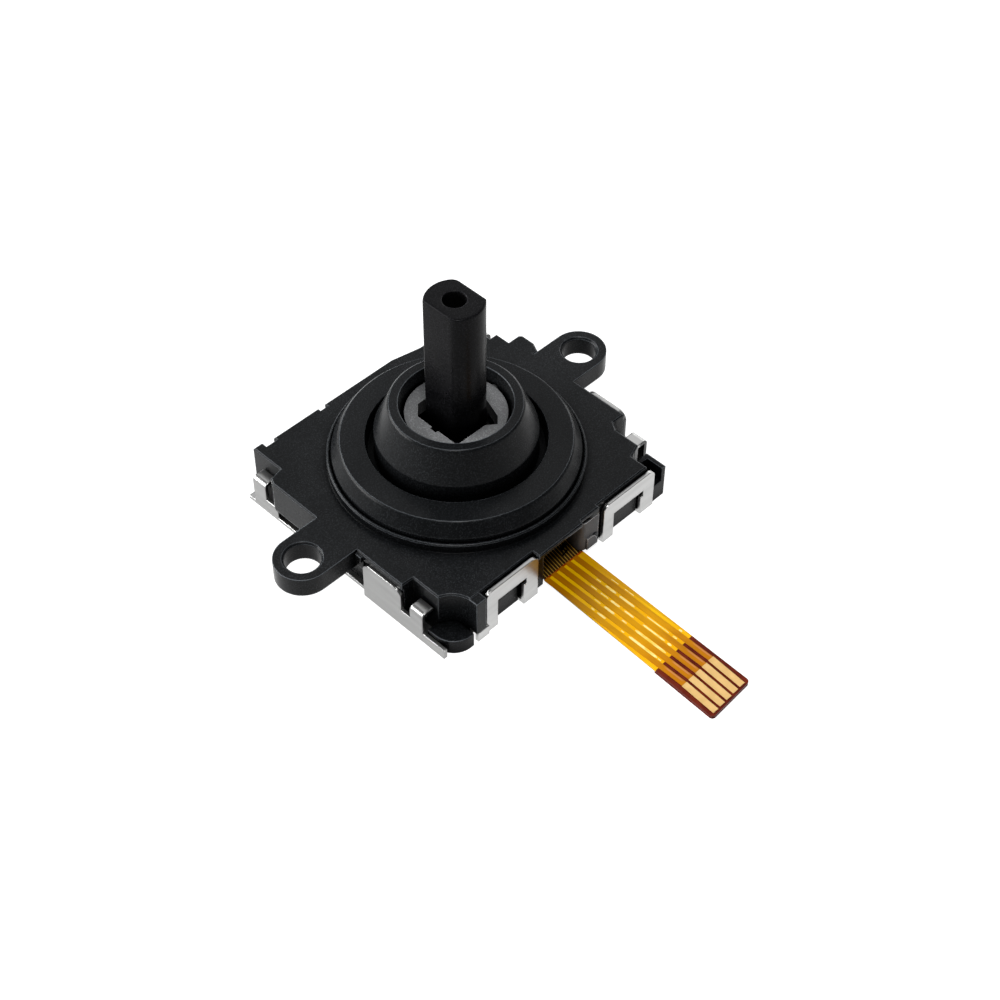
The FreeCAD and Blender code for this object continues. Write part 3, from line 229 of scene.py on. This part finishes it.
# Conductors under the film: screen colours from the root (0) to the pads (1), pinkish edges over
# the stiffener (low, high and soft width, as a share of a pitch and along) and darker clouds
COPPER_ROUGH = 0.3
COPPER = ((0.0, (158, 98, 0)), (0.2, (188, 130, 2)), (0.4, (214, 150, 4)), (0.75, (216, 150, 4)),
          (0.86, (196, 128, 4)), (1.0, (184, 114, 4)))
PINK_CELL = (0.42, 0.56, 0.08)
PINK_ALONG = (14.9, 15.9, 0.3)
PINK_SHARE = 0.45
PINK_COLOUR = (206, 142, 110)
COPPER_CLOUD_SCALE = 1700
COPPER_CLOUD_STRETCH = (1, 0.3, 1)
COPPER_CLOUD_SPAN = (0.35, 0.75)
COPPER_CLOUD_SHARE = 0.25
COPPER_CLOUD_COLOUR = (120, 66, 0)

# Creases of the cover film, in millimetres: by gap between the conductors, each one's start and
# end along the tail and width; then thin ones by shift from the gap's middle, gap, start and end,
# and the thin ones' width; then how high all rise, a tip's length by width, the square of a tip's
# least share of the width, and the steps along and around; then their surface, whose pale colours
# paint the highlight that the creases catch
CREASES = (
    (0, ((9.95, 10.2, 0.09), (10.35, 10.9, 0.11), (11.9, 12.1, 0.05), (12.4, 14.2, 0.13),
         (14.25, 14.45, 0.05))),
    (1, ((9.7, 10.1, 0.08), (10.35, 11.0, 0.12), (11.5, 11.8, 0.08), (12.35, 14.3, 0.13))),
    (2, ((9.0, 9.4, 0.04), (9.65, 10.15, 0.06), (10.3, 10.9, 0.11), (11.2, 11.8, 0.09),
         (12.4, 13.8, 0.09), (13.95, 14.2, 0.13))),
    (3, ((8.9, 9.2, 0.04), (9.5, 10.2, 0.11), (10.4, 11.4, 0.11), (12.2, 13.6, 0.06),
         (13.85, 14.1, 0.12))),
    (4, ((9.4, 9.9, 0.04), (10.3, 10.9, 0.05), (13.8, 14.0, 0.12))),
)
THIN_CREASES = ((-0.17, 0, 12.45, 14.2), (-0.11, 1, 12.4, 14.1), (-0.11, 2, 12.5, 14.3))
THIN_CREASE_WIDE = 0.022
CREASE_HIGH = 0.012
CREASE_TAPER = 1.2
CREASE_TIP = 0.04
CREASE_STEPS = 12
CREASE_SIDES = 8
CREASE_ROUGH = 0.3
CREASE_SCALE = 4200
CREASE_STRETCH = (1, 0.4, 1)
CREASE_HIGHLIGHT_COLOURS = ((0.36, (248, 206, 70)), (0.5, (255, 236, 150)))

# Stick, in millimetres: radius, half distance of its flats and radii of its four corners, top and
# lower end, softened rim, bore for the cap's pin, shaft, and round foot with the share of its
# radius that its tip has; then the angle above which an edge stays sharp, and the steps of a
# corner, of a round side and of a softened rim
STEM_R = 1.46
STEM_FLAT = 1.08
STEM_CORNERS = (0.55, 0.1, 0.55, 0.1)
STEM_TOP = 13.0
STEM_LOW = 4.7
STEM_SOFT = 0.1
BORE_R = 0.57
BORE_SOFT = 0.05
BORE_DEEP = 4.0
SHAFT_R = 0.75
SHAFT_LOW = 2.0
FOOT_R = 0.9
FOOT_HIGH = 0.3
FOOT_TIP = 0.6
FOOT_TAPER = 0.1
STEM_SHARP = math.radians(40)
CORNER_STEPS = 6
ROUND_STEPS = 24
SOFT_STEPS = 4

# Wall on the right of the tail, in millimetres: cheek along the film, front face with a rounded
# corner, and raised sill that ends in an arc
WALL_LEFT = 1.3
WALL_RIGHT = 2.47
WALL_FACE = 7.31
WALL_REAR = 5.3
WALL_LOW = 0.36
WALL_TOP = 2.3
WALL_SOFT = 0.3
WALL_THICK = 0.6
CHEEK_THICK = 0.25
SILL_HIGH = 1.15
SILL_ROOT = 0.1
SILL_OUT = 0.07
SILL_BEVEL = 0.03
SILL_INSET = 0.05
SILL_ARC_START = 1.9
SILL_ARC_END = 2.36
SILL_ARC_STEPS = 10
WALL_SHARP = math.radians(30)


def make_camera():
    """Camera at the photograph's place, turned and rolled as it was."""
    level = math.cos(CAMERA_ELEVATION)
    back = Vector((math.sin(CAMERA_AZIMUTH) * level, -math.cos(CAMERA_AZIMUTH) * level,
                   math.sin(CAMERA_ELEVATION)))
    right = Vector((math.cos(CAMERA_AZIMUTH), math.sin(CAMERA_AZIMUTH), 0))
    up = back.cross(right)
    roll = Matrix.Rotation(CAMERA_ROLL, 3, back)
    axes = Matrix((roll @ right, roll @ up, back)).transposed()
    data = bpy.data.cameras.new("camera")
    data.lens = CAMERA_LENS
    data.sensor_width = CAMERA_SENSOR
    data.clip_start = CAMERA_NEAR
    data.clip_end = CAMERA_FAR
    camera = bpy.data.objects.new("camera", data)
    camera.matrix_world = Matrix.Translation(CAMERA_PLACE) @ axes.to_4x4()
    bpy.context.scene.collection.objects.link(camera)
    bpy.context.scene.camera = camera


def make_lamp(name, azimuth, elevation, distance, width, height, power):
    """Soft box that looks at the part from one direction."""
    data = bpy.data.lights.new(name, "AREA")
    data.shape = "RECTANGLE"
    data.size = width
    data.size_y = height
    data.energy = power
    lamp = bpy.data.objects.new(name, data)
    turn, rise = math.radians(azimuth), math.radians(elevation)
    place = distance * Vector((math.sin(turn) * math.cos(rise), -math.cos(turn) * math.cos(rise),
                               math.sin(rise)))
    lamp.location = place
    lamp.rotation_euler = (-place).to_track_quat("-Z", "Y").to_euler()
    bpy.context.scene.collection.objects.link(lamp)


class Graph:
    """Short calls that add and join the nodes of one material or world."""

    def __init__(self, tree):
        self.tree = tree

    def give(self, socket, value):
        """Link a socket to another one, or set it to a constant."""
        if isinstance(value, bpy.types.NodeSocket):
            self.tree.links.new(value, socket)
        else:
            socket.default_value = value

    def node(self, kind, inputs=None, **settings):
        """New node with its settings, and its inputs given by name or number."""
        made = self.tree.nodes.new(kind)
        for key, value in settings.items():
            setattr(made, key, value)
        for key, value in (inputs or {}).items():
            self.give(made.inputs[key], value)
        return made

    def math(self, operation, first, second=0.0):
        """Result of one operation on one or two values."""
        return self.node("ShaderNodeMath", {0: first, 1: second}, operation=operation).outputs[0]

    def times(self, first, second):
        """Product of two values."""
        return self.math("MULTIPLY", first, second)

    def place(self):
        """The three coordinates of the surface point in the part's frame, in millimetres."""
        spot = self.node("ShaderNodeTexCoord").outputs["Object"]
        split = self.node("ShaderNodeSeparateXYZ", {0: spot})
        return [self.times(split.outputs[axis], 1 / MM) for axis in range(3)]

    def true_normal(self):
        """The face's own normal, without smoothing or bump."""
        return self.node("ShaderNodeNewGeometry").outputs["True Normal"]

    def soft_normal(self, radius):
        """The normal as it would be with every edge rounded to a radius in metres."""
        return self.node("ShaderNodeBevel", {"Radius": radius}, samples=SURFACE_SAMPLES).outputs[0]

    def noise(self, scale, detail, stretch=(1, 1, 1)):
        """Noise in the piece's own space: finer for a larger scale, rougher for more detail."""
        spot = self.node("ShaderNodeTexCoord").outputs["Object"]
        sized = self.node("ShaderNodeMapping", {"Vector": spot, "Scale": stretch}).outputs[0]
        return self.node("ShaderNodeTexNoise", {"Vector": sized, "Scale": scale,
                                                "Detail": detail}).outputs["Fac"]

    def fade(self, value, span, start=0.0, end=1.0):
        """Smooth change from start to end while the value goes through a span."""
        return self.node("ShaderNodeMapRange", {
            "Value": value, "From Min": span[0], "From Max": span[1], "To Min": start,
            "To Max": end}, interpolation_type="SMOOTHSTEP").outputs[0]

    def band(self, value, low, high, soft):
        """1 between low and high, 0 outside, with soft flanks."""
        rise = self.fade(value, (low - soft / 2, low + soft / 2))
        fall = self.fade(value, (high - soft / 2, high + soft / 2), 1.0, 0.0)
        return self.times(rise, fall)

    def ramp(self, value, stops):
        """Colour that goes with the value through stops of place and screen colour."""
        made = self.node("ShaderNodeValToRGB", {"Fac": value})
        points = made.color_ramp.elements
        while len(points) < len(stops):
            points.new(0.5)
        for point, (spot, colour) in zip(points, stops):
            point.position = spot
            point.color = linear(colour)
        return made.outputs["Color"]

    def tint(self, noise, dark, light):
        """Between two screen colours over the usual span of a noise."""
        return self.ramp(noise, list(zip(NOISE_SPAN, (dark, light))))

    def mix(self, factor, first, second):
        """From the first colour to the second as the factor goes from 0 to 1."""
        inputs = dict(zip(MIX_INPUTS, (factor, first, second)))
        return self.node("ShaderNodeMix", inputs, data_type="RGBA").outputs[MIX_OUTPUT]


def linear(colour):
    """Scene colour of a screen colour from 0 to 255."""
    return (*((part / SCREEN_WHITE) ** SCREEN_GAMMA for part in colour), 1.0)


def lighter(colour, gain):
    """Screen colour times a gain, up to white."""
    return [min(part * gain, SCREEN_WHITE) for part in colour]


def any_ray(graph):
    """1 on camera, glossy and transmission rays, and 0 on the rest."""
    path = graph.node("ShaderNodeLightPath")
    last = path.outputs["Is Camera Ray"]
    for name in ("Is Glossy Ray", "Is Transmission Ray"):
        last = graph.math("MAXIMUM", last, path.outputs[name])
    return last


def make_light():
    """Soft boxes and a dim room around them."""
    for lamp in LAMPS:
        make_lamp(*lamp)
    world = bpy.data.worlds.new("studio")
    bpy.context.scene.world = world
    world.use_nodes = True
    world.node_tree.nodes.clear()
    graph = Graph(world.node_tree)
    direction = graph.node("ShaderNodeTexCoord").outputs["Generated"]
    rise = graph.node("ShaderNodeSeparateXYZ", {0: direction}).outputs["Z"]
    back = graph.node("ShaderNodeBackground", {"Color": graph.ramp(rise, SKY), "Strength": 1.0})
    graph.node("ShaderNodeOutputWorld", {"Surface": back.outputs[0]})
    bpy.context.scene.view_settings.view_transform = "Standard"


def make_floor():
    """Plain floor that is white to the eye and in reflections, and pale as a source of light."""
    data = bpy.data.meshes.new("floor")
    shape = bmesh.new()
    bmesh.ops.create_grid(shape, x_segments=1, y_segments=1, size=FLOOR_HALF)
    shape.to_mesh(data)
    shape.free()
    floor = bpy.data.objects.new("floor", data)
    bpy.context.scene.collection.objects.link(floor)
    material = bpy.data.materials.new("pale_floor")
    material.use_nodes = True
    material.node_tree.nodes.clear()
    graph = Graph(material.node_tree)
    tone = (FLOOR_TONE, FLOOR_TONE, FLOOR_TONE, 1)
    matt = graph.node("ShaderNodeBsdfDiffuse", {"Color": tone}).outputs[0]
    lift = graph.node("ShaderNodeEmission", {"Strength": FLOOR_LIFT}).outputs[0]
    lit = graph.node("ShaderNodeAddShader", {0: matt, 1: lift}).outputs[0]
    mix = graph.node("ShaderNodeMixShader", {0: any_ray(graph), 1: matt, 2: lit}).outputs[0]
    graph.node("ShaderNodeOutputMaterial", {"Surface": mix})
    data.materials.append(material)


def new_material(name, roughness, metallic=0.0, specular=USUAL_SHINE):
    """New material, the inputs of its shader and its graph."""
    material = bpy.data.materials.new(name)
    material.use_nodes = True
    sockets = material.node_tree.nodes["Principled BSDF"].inputs
    sockets["Roughness"].default_value = roughness
    sockets["Metallic"].default_value = metallic
    sockets["Specular IOR Level"].default_value = specular
    return material, sockets, Graph(material.node_tree)


def add_bump(graph, sockets, height, strength, distance, edge=0.0):
    """Bump from a height, with rounded edges where edge is a radius in metres."""
    bump = graph.node("ShaderNodeBump", {"Height": height, "Strength": strength,
                                         "Distance": distance})
    if edge:
        graph.give(bump.inputs["Normal"], graph.soft_normal(edge))
    graph.give(sockets["Normal"], bump.outputs[0])


def painted_edge_highlight(graph, radius, open_air):
    """Mask of the painted edge highlight: 1 along outer edges and 0 on faces and inner corners."""
    turned = graph.node("ShaderNodeVectorMath", {0: graph.soft_normal(radius),
                                                 1: graph.true_normal()},
                        operation="DOT_PRODUCT").outputs["Value"]
    return graph.times(graph.fade(turned, HIGHLIGHT_TURN, 1.0, 0.0), graph.fade(open_air, HIGHLIGHT_OPEN))


def make_plastic(name, dark, light, roughness, edge, specular=PLASTIC_SHINE, speck=PLASTIC_SPECK,
                 low=None):
    """Moulded plastic: spark-eroded grain, uneven gloss, painted shade in recesses and painted
    highlights along outer edges.
    """
    material, sockets, graph = new_material(name, roughness, 0.0, specular)
    cloud = graph.noise(CLOUD_SCALE, detail=2)
    plain = graph.tint(cloud, dark, light)
    bright = graph.tint(cloud, lighter(dark, speck), lighter(light, speck))
    specks = graph.fade(graph.noise(SPECK_SCALE, detail=1), SPECK_SPAN)
    # Painted shade: recesses darken the colour and the shine
    open_air = graph.node("ShaderNodeAmbientOcclusion", {"Distance": PAINTED_SHADE_REACH},
                          samples=SURFACE_SAMPLES).outputs["AO"]
    shade = graph.fade(open_air, PAINTED_SHADE_SPAN, PAINTED_SHADE_DIM)
    # Painted shade: the stick darker towards its lower end
    if low:
        shade = graph.times(shade, graph.fade(graph.place()[2], low, LOW_PAINTED_SHADE))
    # Painted highlight: outer edges made lighter in the base colour
    highlight = graph.times(painted_edge_highlight(graph, edge, open_air), HIGHLIGHT_SHARE)
    body = graph.mix(shade, (0, 0, 0, 1), graph.mix(specks, plain, bright))
    body = graph.mix(highlight, body, linear(lighter(light, HIGHLIGHT_GAIN)))
    graph.give(sockets["Base Color"], body)
    graph.give(sockets["Specular IOR Level"], graph.times(shade, specular))
    patches = graph.noise(GLOSS_SCALE, detail=3)
    graph.give(sockets["Roughness"], graph.fade(patches, NOISE_SPAN, roughness - GLOSS_LESS,
                                                roughness + GLOSS_MORE))
    grain = graph.noise(PLASTIC_GRAIN_SCALE, detail=4)
    add_bump(graph, sockets, grain, PLASTIC_GRAIN, GRAIN_HIGH, edge)
    return material


def make_metal(name, dark, light, roughness, edge, shaded_sides=False):
    """Rolled sheet or wire: faint streaks and a satin surface, with painted shade on the shield's
    upright sides.
    """
    material, sockets, graph = new_material(name, roughness, 1.0)
    streaks = graph.noise(STREAK_SCALE, detail=3, stretch=STREAK_STRETCH)
    body = graph.tint(streaks, dark, light)
    # Painted shade: the shield's upright sides darkened by place and facing
    if shaded_sides:
        across = graph.place()[0]
        facing_up = graph.node("ShaderNodeSeparateXYZ", {0: graph.true_normal()}).outputs["Z"]
        upright = graph.fade(facing_up, UPRIGHT_SPAN, 1.0, 0.0)
        left = graph.times(graph.fade(across, LEFT_SIDE, 1.0, 0.0), upright)
        right = graph.times(graph.fade(across, RIGHT_SIDE), upright)
        body = graph.mix(graph.times(left, LEFT_SHADE_SHARE), body, linear(LEFT_SHADE_TONE))
        body = graph.mix(graph.times(right, RIGHT_SHADE_SHARE), body, linear(RIGHT_SHADE_TONE))
    graph.give(sockets["Base Color"], body)
    grain = graph.noise(METAL_GRAIN_SCALE, detail=3)
    add_bump(graph, sockets, grain, METAL_GRAIN, GRAIN_HIGH, edge)
    return material


def make_plain(name, dark, light, roughness, specular=USUAL_SHINE):
    """Plain surface with a cloudy colour and a fine grain."""
    material, sockets, graph = new_material(name, roughness, 0.0, specular)
    cloud = graph.noise(PLAIN_SCALE, detail=3)
    graph.give(sockets["Base Color"], graph.tint(cloud, dark, light))
    grain = graph.noise(PLAIN_GRAIN_SCALE, detail=3)
    add_bump(graph, sockets, grain, PLAIN_GRAIN, GRAIN_HIGH)
    return material


def tail_place(graph):
    """Places across and along the tail, in millimetres."""
    across, back, _ = graph.place()
    return across, graph.times(back, -1.0)


def add_waves(graph, sockets):
    """Shallow waves of the cover film, long along the tail."""
    waves = graph.noise(WAVE_SCALE, detail=2, stretch=WAVE_STRETCH)
    add_bump(graph, sockets, waves, WAVE_STRENGTH, WAVE_HIGH, FILM_EDGE)


def film_ramp(graph, across, along):
    """Colour of the film's dark ramp, with its fine lines and slot marks."""
    wave = graph.math("SINE", graph.times(across, 2 * math.pi / RAMP_LINE_PITCH))
    body = graph.mix(graph.fade(wave, RAMP_LINE_SPAN), linear(RAMP_DARK), linear(RAMP_LINE))
    slanted = graph.math("ADD", along, graph.times(across, SLOT_SKEW))
    marks = [graph.times(graph.band(across, *wide, SLOT_SOFT), graph.band(slanted, *deep, soft))
             for wide, deep, soft in SLOT_MARKS]
    return graph.mix(graph.math("MAXIMUM", *marks), body, SLOT_BLACK)


def make_film():
    """Amber film: dark and lined on the ramp, bright along the tail, red-brown on the stiffener."""
    material, sockets, graph = new_material("amber_film", FILM_ROUGH, specular=FILM_SHINE)
    across, along = tail_place(graph)
    reach = graph.fade(along, (TAIL_ROOT, STIFF_START))
    body = graph.mix(graph.fade(across, BRIGHT_SPAN), graph.ramp(reach, FILM_MIDDLE),
                     graph.ramp(reach, FILM_BRIGHT))
    rim = graph.times(graph.fade(across, RIM_SPAN), RIM_SHARE)
    body = graph.mix(rim, body, linear(RIM_COLOUR))
    cloud = graph.noise(FILM_CLOUD_SCALE, detail=3, stretch=FILM_CLOUD_STRETCH)
    body = graph.mix(graph.fade(cloud, FILM_CLOUD_SPAN, end=FILM_CLOUD_SHARE), body,
                     linear(FILM_CLOUD_COLOUR))
    line = graph.math("ADD", along, graph.times(across, STIFF_SKEW))
    patches = graph.noise(STIFF_SCALE, detail=2)
    brown = graph.ramp(graph.fade(patches, NOISE_SPAN), STIFF_COLOURS)
    over = graph.fade(line, (STIFF_START - STIFF_SOFT, STIFF_START + STIFF_SOFT))
    body = graph.mix(over, body, brown)
    inside = graph.fade(along, (TAIL_ROOT - RAMP_SOFT, TAIL_ROOT + RAMP_SOFT), 1.0, 0.0)
    body = graph.mix(inside, body, film_ramp(graph, across, along))
    foot_line = graph.band(along, *FOOT_LINE, FOOT_LINE_SOFT)
    graph.give(sockets["Base Color"], graph.mix(foot_line, body, linear(FOOT_LINE_COLOUR)))
    add_waves(graph, sockets)
    return material


def make_copper():
    """Conductors seen through the film: brown at the root, then amber, pinkish at the stiffener."""
    material, sockets, graph = new_material("amber_copper", COPPER_ROUGH, specular=FILM_SHINE)
    across, along = tail_place(graph)
    body = graph.ramp(graph.fade(along, (TAIL_ROOT, PAD_START)), COPPER)
    drift = graph.times(graph.fade(along, (TAIL_ROOT, TAIL_END)), -LEAD_DRIFT)
    first = graph.math("ADD", drift, LEAD_FIRST - LEAD_SHIFT)
    beside = graph.math("SUBTRACT", graph.math("ADD", across, LEAD_HALF), first)
    cell = graph.math("FRACT", graph.math("DIVIDE", beside, LEAD_PITCH))
    pink = graph.times(graph.band(cell, *PINK_CELL), graph.band(along, *PINK_ALONG))
    body = graph.mix(graph.times(pink, PINK_SHARE), body, linear(PINK_COLOUR))
    cloud = graph.noise(COPPER_CLOUD_SCALE, detail=3, stretch=COPPER_CLOUD_STRETCH)
    body = graph.mix(graph.fade(cloud, COPPER_CLOUD_SPAN, end=COPPER_CLOUD_SHARE), body,
                     linear(COPPER_CLOUD_COLOUR))
    graph.give(sockets["Base Color"], body)
    add_waves(graph, sockets)
    return material


def make_glint():
    """Painted highlight: pale colour for the light that the creases of the film catch."""
    material, sockets, graph = new_material("crease_glint", CREASE_ROUGH)
    patches = graph.noise(CREASE_SCALE, detail=3, stretch=CREASE_STRETCH)
    # Painted highlight: pale colours for the light the creases catch
    graph.give(sockets["Base Color"], graph.ramp(patches, CREASE_HIGHLIGHT_COLOURS))
    return material


def make_materials():
    """All surfaces by the name of their slot, and the wall's own."""
    made = {name: make_plastic(name, **look) for name, look in PLASTICS.items()}
    made.update({name: make_metal(name, **look) for name, look in METALS.items()})
    made.update({name: make_plain(name, **look) for name, look in PLAINS.items()})
    made["amber_film"] = make_film()
    made["amber_copper"] = make_copper()
    return made


def dress_nodes(materials):
    """Give every CAD node the surface of its slot, or the stick's dark one deep inside as painted
    shade.
    """
    slots = {entry["node"]: entry["material_slot"] for entry in frame["record"]["subparts"]}
    # Painted shade: dark surface on pieces deep in the ring's window
    slots.update({name: "black_stem" for name in SHADED_INSIDE})
    for name, node in frame["nodes"].items():
        node.data.materials.clear()
        node.data.materials.append(materials[slots[name]])


def body_of(node):
    """The body that a CAD node belongs to."""
    for name, nodes in frame["record"]["behaviour"]["bodies"].items():
        if node in nodes:
            return name
    return "root"


def new_piece(name, shape, material):
    """Object made from a finished shape."""
    data = bpy.data.meshes.new(name)
    bmesh.ops.recalc_face_normals(shape, faces=shape.faces)
    shape.to_mesh(data)
    shape.free()
    data.materials.append(material)
    piece = bpy.data.objects.new(name, data)
    bpy.context.scene.collection.objects.link(piece)
    return piece


def new_moulding(name, shape, material, sharp_angle):
    """Object with smooth faces and sharp edges above an angle."""
    for face in shape.faces:
        face.smooth = True
    piece = new_piece(name, shape, material)
    piece.modifiers.new("edges", "EDGE_SPLIT").split_angle = sharp_angle
    return piece


def loft(shape, rings):
    """Closed skin through rings of points, all with as many points, in millimetres."""
    rows = [[shape.verts.new(Vector(point) * MM) for point in ring] for ring in rings]
    count = len(rows[0])
    for low, high in zip(rows, rows[1:]):
        for spot in range(count):
            after = (spot + 1) % count
            shape.faces.new((low[spot], low[after], high[after], high[spot]))
    shape.faces.new(rows[0])
    shape.faces.new(rows[-1])


def quarter(steps):
    """Angles of a quarter turn in even steps, with both ends."""
    return [math.pi / 2 * step / steps for step in range(steps + 1)]


def stem_outline(inset):
    """Double-D outline: two flats, two arcs and four corners of their own radii, anticlockwise
    from the +X flat."""
    points = []
    for number, corner in enumerate(STEM_CORNERS):
        reach = math.acos((STEM_FLAT - corner) / (STEM_R - corner))
        leaves_flat = number % 2 == 0
        base = 0.0 if number in (0, 3) else math.pi
        direction = base + (reach if leaves_flat else -reach)
        middle = Vector((math.cos(direction), math.sin(direction))) * (STEM_R - corner)
        first, last = (base, direction) if leaves_flat else (direction, base)
        for step in range(CORNER_STEPS + 1):
            turn = first + (last - first) * step / CORNER_STEPS
            points.append((middle.x + (corner - inset) * math.cos(turn),
                           middle.y + (corner - inset) * math.sin(turn)))
        if leaves_flat:
            after = STEM_CORNERS[number + 1]
            ahead = math.pi + base - math.acos((STEM_FLAT - after) / (STEM_R - after))
            for step in range(1, ROUND_STEPS):
                turn = direction + (ahead - direction) * step / ROUND_STEPS
                points.append(((STEM_R - inset) * math.cos(turn),
                               (STEM_R - inset) * math.sin(turn)))
    return points


def make_stem(material):
    """Stick: double-D stem with a soft rim and the bore for the cap's pin, shaft and round foot."""
    count = len(stem_outline(0))

    def circle(radius, z):
        turns = [2 * math.pi * spot / count for spot in range(count)]
        return [(radius * math.cos(turn), radius * math.sin(turn), z) for turn in turns]

    def outline(inset, z):
        return [(x, y, z) for x, y in stem_outline(inset)]

    rings = [circle(FOOT_TIP * FOOT_R, SHAFT_LOW), circle(FOOT_R, SHAFT_LOW + FOOT_TAPER),
             circle(FOOT_R, SHAFT_LOW + FOOT_HIGH), circle(SHAFT_R, SHAFT_LOW + FOOT_HIGH),
             circle(SHAFT_R, STEM_LOW), outline(0, STEM_LOW)]
    rings += [outline(STEM_SOFT * (1 - math.cos(angle)),
                      STEM_TOP - STEM_SOFT + STEM_SOFT * math.sin(angle))
              for angle in quarter(SOFT_STEPS)]
    rings += [circle(BORE_R + BORE_SOFT * (1 - math.sin(angle)),
                     STEM_TOP - BORE_SOFT * (1 - math.cos(angle)))
              for angle in quarter(SOFT_STEPS)]
    rings.append(circle(BORE_R, STEM_TOP - BORE_DEEP))
    shape = bmesh.new()
    loft(shape, rings)
    piece = new_moulding("stick_stem_skin", shape, material, STEM_SHARP)
    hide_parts("stick_stem")
    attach(piece, body_of("stick_stem"))


def gap_line(gap, along):
    """Middle of a gap between conductors, which drifts sideways along the tail."""
    drift = LEAD_DRIFT * (along - TAIL_ROOT) / (TAIL_END - TAIL_ROOT)
    return LEAD_FIRST + (gap + 0.5) * LEAD_PITCH - drift


def add_crease(shape, gap, shift, start, end, width):
    """One crease: a slim half lens with narrow round tips, flat on the film's face."""
    rings = []
    for step in range(CREASE_STEPS + 1):
        along = start + (end - start) * step / CREASE_STEPS
        tip = min(1.0, min(along - start, end - along) / (width * CREASE_TAPER))
        wide = width / 2 * math.sqrt(max(CREASE_TIP, 1 - (1 - tip) ** 2))
        high = CREASE_HIGH * wide / width * 2
        middle = gap_line(gap, along) + shift
        turns = [math.pi * side / CREASE_SIDES for side in range(CREASE_SIDES + 1)]
        rings.append([(middle + wide * math.cos(turn), -along, TAIL_FACE + high * math.sin(turn))
                      for turn in turns])
    loft(shape, rings)


def make_creases(material):
    """Low rounded creases of the cover film, with a painted highlight on them."""
    shape = bmesh.new()
    for gap, spans in CREASES:
        for start, end, width in spans:
            add_crease(shape, gap, 0.0, start, end, width)
    for shift, gap, start, end in THIN_CREASES:
        add_crease(shape, gap, shift, start, end, THIN_CREASE_WIDE)
    piece = new_piece("film_crease_highlights", shape, material)
    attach(piece, body_of("flex_film"))


def make_front_wall(material):
    """Moulded wall on the right of the tail, with its raised sill."""
    shape = bmesh.new()
    corner = [(WALL_LEFT + WALL_SOFT * (1 - math.cos(turn)),
               -WALL_FACE + WALL_SOFT * (1 - math.sin(turn))) for turn in quarter(SOFT_STEPS)]
    outline = [(WALL_LEFT, -WALL_REAR)] + corner + [
        (WALL_RIGHT, -WALL_FACE), (WALL_RIGHT, -WALL_FACE + WALL_THICK),
        (WALL_LEFT + CHEEK_THICK, -WALL_FACE + WALL_THICK), (WALL_LEFT + CHEEK_THICK, -WALL_REAR)]
    loft(shape, [[(x, y, z) for x, y in outline] for z in (WALL_LOW, WALL_TOP)])

    sill_left = WALL_LEFT + WALL_SOFT
    arc = [(SILL_ARC_START + (SILL_ARC_END - SILL_ARC_START) * math.sin(turn),
            WALL_LOW + (SILL_HIGH - WALL_LOW) * math.cos(turn))
           for turn in quarter(SILL_ARC_STEPS)]
    sill = [(sill_left, WALL_LOW), (sill_left, SILL_HIGH)] + arc
    centre = Vector((sum(x for x, z in sill), sum(z for x, z in sill))) / len(sill)
    front = [(x + (centre.x - x) * SILL_INSET, z + (centre.y - z) * SILL_INSET) for x, z in sill]
    loft(shape, [[(x, -WALL_FACE + SILL_ROOT, z) for x, z in sill],
                 [(x, -WALL_FACE - SILL_OUT, z) for x, z in sill],
                 [(x, -WALL_FACE - SILL_OUT - SILL_BEVEL, z) for x, z in front]])
    piece = new_moulding("front_wall", shape, material, WALL_SHARP)
    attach(piece, body_of("housing"))


make_camera()
make_light()
make_floor()
surfaces = make_materials()
dress_nodes(surfaces)
make_stem(surfaces["black_stem"])
make_creases(make_glint())
# The wall's grey surface paints the sheen of black plastic
make_front_wall(surfaces["wall_sheen_plastic"])
